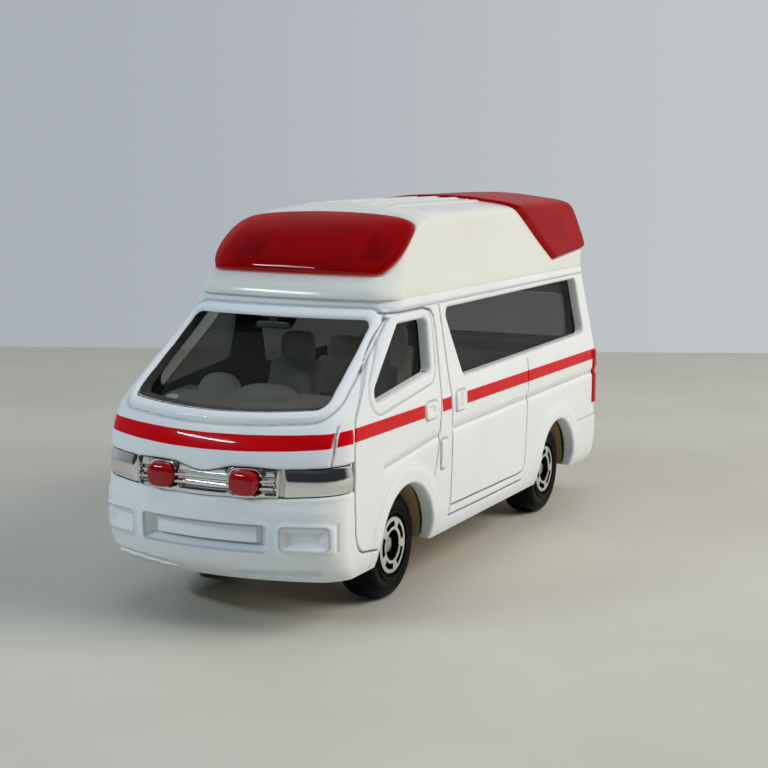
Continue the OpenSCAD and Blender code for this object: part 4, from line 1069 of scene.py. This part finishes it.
hatch = BodySkin(248, 10.2, 26.9, 0.4).solid("hatch", detail=hatch_detail, k=4)
combine(hatch, [BodySkin(140, 9.8, 27.3, 0.5).solid("void", d=-1.0)], "DIFFERENCE")
panel = rectangle(-HATCH_HALF + 0.2, HATCH_HALF - 0.2, HATCH_LOW + 0.2, HINGE_Z + 0.3)
combine(hatch, [prism(swollen(panel, 0.2), "y", 30, 41)], "INTERSECT")
combine(hatch, [prism(circle_points(HINGE_Y, HINGE_Z, 1.1, 48), "x", -HATCH_HALF, HATCH_HALF)], "UNION")
combine(hatch, [prism(circle_points(HINGE_Y, HINGE_Z, 0.5, 32), "x", -10.1, 10.1)], "UNION")
combine(hatch, [prism(swollen(HATCH_WINDOW, 0.8, 10), "y", 30, 41)], "DIFFERENCE")
finish_mesh(hatch, "rear_hatch_panel", 38)
spots = vectors(hatch.data.vertices, "co")
across = np.minimum(spots[:, 2] - STRIPE_LOW, STRIPE_HIGH - spots[:, 2])
attribute(hatch, "stripe", np.where(np.abs(spots[:, 0]) < HATCH_HALF, across, -FAR))
attribute(hatch, "painted_line_shade", np.full(len(spots), FAR))
attribute(hatch, "tail_lamp", np.full(len(spots), -FAR))
dress(hatch, "paint")
ride(hatch, "hatch", "rear_hatch")

# Seats and dashboard


def seat(x, y, w, h, length):
    """Seat with a headrest, on the floor of the cabin."""
    low = 13.4
    outline = [(y, 13.1), (y + length, 13.1), (y + length * 1.3, low + h * 0.74),
               (y + length * 0.94, low + h * 0.76), (y + length * 0.68, low + h * 0.38),
               (y, low + h * 0.4)]
    made = bevel(prism(outline, "x", x - w / 2, x + w / 2), 0.5)
    head = soft_block("head", (x, y + length * 1.16, low + h * 0.85), (w * 0.34, 0.85, h * 0.17), 0.55)
    return combine(made, [head], "UNION")


tray = prism(rectangle(-10.4, 10.4, -28.5, 33.0), "z", 12.65, 13.45)
dash = [(-28.4, 13.0), (-22.6, 13.0), (-23.4, 19.4), (-24.6, 19.9), (-28.4, 19.5), (-33.0, 19.05),
        (-33.0, 18.6), (-28.4, 18.6)]
dash = bevel(prism(dash, "x", -9.7, 9.7), 0.35)
lumps = [soft_block("lump", (-5.2, -25.6, 19.4), (2.1, 1.8, 2.1), 0.85),
         soft_block("lump", (0.6, -26.8, 19.3), (3.0, 2.0, 1.6), 0.7),
         soft_block("lump", (-6.4, -28.6, 18.7), (3.2, 2.2, 1.35), 0.8),
         soft_block("lump", (-8.3, -27.6, 18.6), (1.5, 2.4, 1.3), 0.8)]
legs = [prism(rectangle(-6.3, 6.3, y, y + 0.9), "z", 5.9, 13.0) for y in (-10.36, 11.14)]
seats = [seat(side * 4.3, -17.5, 5.4, 10.6, 5.2) for side in (-1, 1)]
seats += [seat(-6.0, y, 5.4, 8.7, 5.2) for y in (-3.8, 9.1)]
combine(tray, [dash] + lumps + legs + seats, "UNION")
finish_mesh(tray, "seats_and_dash", 40)
dress(tray, "seat")
ride(tray, "van", "seat_moulding")

# Wheels and axles

WHEEL_FACE = 11.0
TYRE = [(-1.4, 0.66), (-1.4, 1.36), (-1.3, 1.46), (-0.14, 1.46), (-0.07, 1.5), (-0.07, 2.70),
        (-0.12, 2.76), (-0.32, 2.8), (-0.38, 2.88), (-0.38, 3.0), (-0.3, 3.08), (-0.08, 3.14),
        (-0.02, 3.22), (-0.02, 3.36), (-0.08, 3.46), (-0.17, 3.52), (-0.13, 3.75), (-0.06, 4.05),
        (-0.05, 4.3), (-0.12, 4.6), (-0.27, 4.84), (-0.5, 5.04), (-0.8, 5.16), (-1.1, 5.2),
        (-1.42, 5.2), (-1.48, 5.11), (-1.62, 5.11), (-1.68, 5.2), (-2.12, 5.2), (-2.18, 5.11),
        (-2.32, 5.11), (-2.38, 5.2), (-2.9, 5.19), (-3.25, 5.13), (-3.55, 4.95), (-3.74, 4.7),
        (-3.8, 4.4), (-3.8, 3.4), (-3.72, 3.3), (-2.7, 3.1), (-2.6, 3.0), (-2.6, 1.9), (-2.7, 1.8),
        (-3.7, 1.6), (-3.8, 1.5), (-3.8, 0.66)]
ROD_END = [(-9.72, 0.6), (-9.72, 0.7), (-9.8, 0.78), (-10.3, 0.8), (-10.48, 0.74), (-10.58, 0.55),
           (-10.62, 0.2)]


def turned(name, loop, segments=96, bored=True):
    """Solid of an (x, r) outline turned about the x axis, as a closed ring or with capped ends."""
    n = len(loop)
    verts = [(x, r * math.sin(2 * math.pi * k / segments), r * math.cos(2 * math.pi * k / segments))
             for k in range(segments) for x, r in loop]
    faces = []
    for k in range(segments):
        a, b = k * n, (k + 1) % segments * n
        faces += [[a + i, b + i, b + (i + 1) % n, a + (i + 1) % n] for i in range(n if bored else n - 1)]
    if not bored:
        faces += [[k * n + i for k in range(segments)] for i in (0, n - 1)]
    return face_out(mesh_object(name, verts, faces))


def wheel_slot(turn):
    """Hole of a rim slot, as a piece of a ring."""
    inner, outer, half, steps = 1.8, 2.36, 24.0, 8
    points = []
    for r, sweep in ((inner, range(-steps, steps + 1)), (outer, range(steps, -steps - 1, -1))):
        for k in sweep:
            angle = math.radians(turn + half * k / steps * (1.0 if r == outer else 1.06))
            points.append((r * math.sin(angle), r * math.cos(angle)))
    return prism(points, "x", -0.6, 0.4)


def wheel(name, side, axle_y):
    obj = turned(name, TYRE)
    combine(obj, [wheel_slot(-14.4 + 72 * k) for k in range(5)], "DIFFERENCE")
    finish_mesh(obj, name, 30)
    dress(obj, "tyre", "foil")
    paint_faces(obj, lambda c: (c[:, 0] > -0.125) & (np.abs(np.hypot(c[:, 1], c[:, 2]) - 2.12) < 0.65))
    obj.data.transform(Matrix.Translation((WHEEL_FACE, 0, 0)))
    if side < 0:
        obj.data.transform(Matrix.Scale(-1, 4, (1, 0, 0)))
        obj.data.flip_normals()
    obj.data.transform(Matrix.Translation((0, axle_y, AXLE_Z)))
    return obj


for end, axle_y in zip(("front", "rear"), AXLE_Y):
    for side, word in ((1, "left"), (-1, "right")):
        tyre = wheel(f"{end}_{word}_tyre", side, axle_y)
        ride(tyre, f"wheel_{end}_{word}", f"{end}_{word}_wheel")
    axle = turned("axle", ROD_END[::-1] + [(-x, r) for x, r in ROD_END], 48, bored=False)
    finish_mesh(axle, f"{end}_axle_rod", 30)
    axle.data.transform(Matrix.Translation((0, axle_y, AXLE_Z)))
    dress(axle, "steel")
    ride(axle, f"{end}_axle_unit", f"{end}_axle")

# Leaf springs, which bend up with the axles
# Leaf springs


def leaf_spring(end, way):
    node = f"{end}_leaf_spring"
    low, high = (np.array(corner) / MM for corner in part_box(node))
    root, tip = (high[1], low[1]) if way > 0 else (low[1], high[1])
    inner, under = root - way * 3.0, high[2] - 0.3
    run = np.linspace(tip, inner, 25).tolist()
    side = [(y, high[2]) for y in run + [root]] + [(root, low[2]), (inner, low[2])]
    side += [(y, under) for y in run[::-1]]
    leaf = finish_mesh(bevel(prism(side, "x", low[0], high[0]), 0.05, 2), f"{end}_spring_leaf", 35)
    dress(to_metres(leaf), "spring")
    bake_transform(leaf)
    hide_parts(node)


leaf_spring("front", 1)
leaf_spring("rear", -1)

# Nodes carried over from the frame

for node, look in (("base_plate", "base"), ("base_rivets", "steel"), ("hatch_window", "window"),
                   ("steering_wheel", "dark")):
    dress(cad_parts[node], look)

# Camera at the photograph's angle

lens_px, image_px, roll = 1614.1, 768.0, math.radians(0.512)
eye = Vector((75.06, -157.67, 42.77)) * MM
target = Vector((0.105, 0.0, 17.49)) * MM
camera = link(bpy.data.objects.new("camera", bpy.data.cameras.new("camera")))
camera.data.sensor_width = 36.0
camera.data.lens = lens_px / image_px * camera.data.sensor_width
camera.data.clip_start = 0.005
camera.data.clip_end = 20.0
look = (target - eye).to_track_quat("-Z", "Y")
camera.matrix_world = Matrix.Translation(eye) @ look.to_matrix().to_4x4() @ Matrix.Rotation(roll, 4, "Z")
scene.camera = camera

# Floor and light

azimuth = math.radians(25.426)
FLOOR_HALF, FLOOR_BACK = 1.6, 0.172
corners = rectangle(-FLOOR_HALF, FLOOR_HALF, -FLOOR_HALF, FLOOR_BACK)
floor = mesh_object("floor", [(x, y, 0) for x, y in corners], [[0, 1, 2, 3]])
floor.data.transform(Matrix.Rotation(azimuth, 4, "Z"))
dress(floor, "floor")

scene.world = bpy.data.worlds.new("studio")
sky = Tree(scene.world)
ray = sky.new("ShaderNodeTexCoord").outputs["Generated"]


def toward(direction, low, high):
    """How far a ray of the world points along a direction, as a soft share."""
    dot = sky.new("ShaderNodeVectorMath", {0: ray, 1: direction}, operation="DOT_PRODUCT")
    return sky.spread(dot.outputs["Value"], low, high, smooth=True)


ahead, across = (-math.sin(azimuth), math.cos(azimuth), 0), (math.cos(azimuth), math.sin(azimuth), 0)
wall = sky.mix(toward(across, -0.25, 0.25), (0.40, 0.43, 0.48), (0.52, 0.55, 0.57))
room = sky.mix(toward(ahead, -0.2, 0.4), (0.028, 0.030, 0.034), wall)
above = sky.mix(toward((0, 0, 1), 0.35, 0.9), room, (0.13, 0.14, 0.16))
sky.put(sky.tree.nodes["Background"].inputs["Color"], above)
scene.view_settings.view_transform = "Standard"


def area_light(name, place, aim, size, power, colour=(1, 1, 1), size_y=None, mirrored=False):
    lamp_data = bpy.data.lights.new(name, "AREA")
    lamp_data.energy = power
    lamp_data.color = colour
    lamp_data.size = size
    if size_y:
        lamp_data.shape = "RECTANGLE"
        lamp_data.size_y = size_y
    obj = link(bpy.data.objects.new(name, lamp_data))
    obj.visible_glossy = mirrored
    spot = Vector(place)
    obj.matrix_world = (Matrix.Translation(spot)
                        @ (Vector(aim) - spot).to_track_quat("-Z", "Y").to_matrix().to_4x4())
    return obj


area_light("key", (0.27, 0.08, 0.215), (0, 0, 0.015), 0.25, 1.0, (1.0, 0.985, 0.94))
area_light("top", (-0.02, 0.02, 0.6), (0, 0, 0.015), 0.5, 0.62, (0.93, 0.97, 1.0))
area_light("fill", (0.06, -0.55, 0.12), (0, 0, 0.015), 0.4, 0.42, (0.54, 0.79, 1.0))
area_light("window", (-0.28, -0.39, 0.32), (0, 0, 0.02), 0.24, 1.05, (0.72, 0.88, 1.0), 0.02, True)
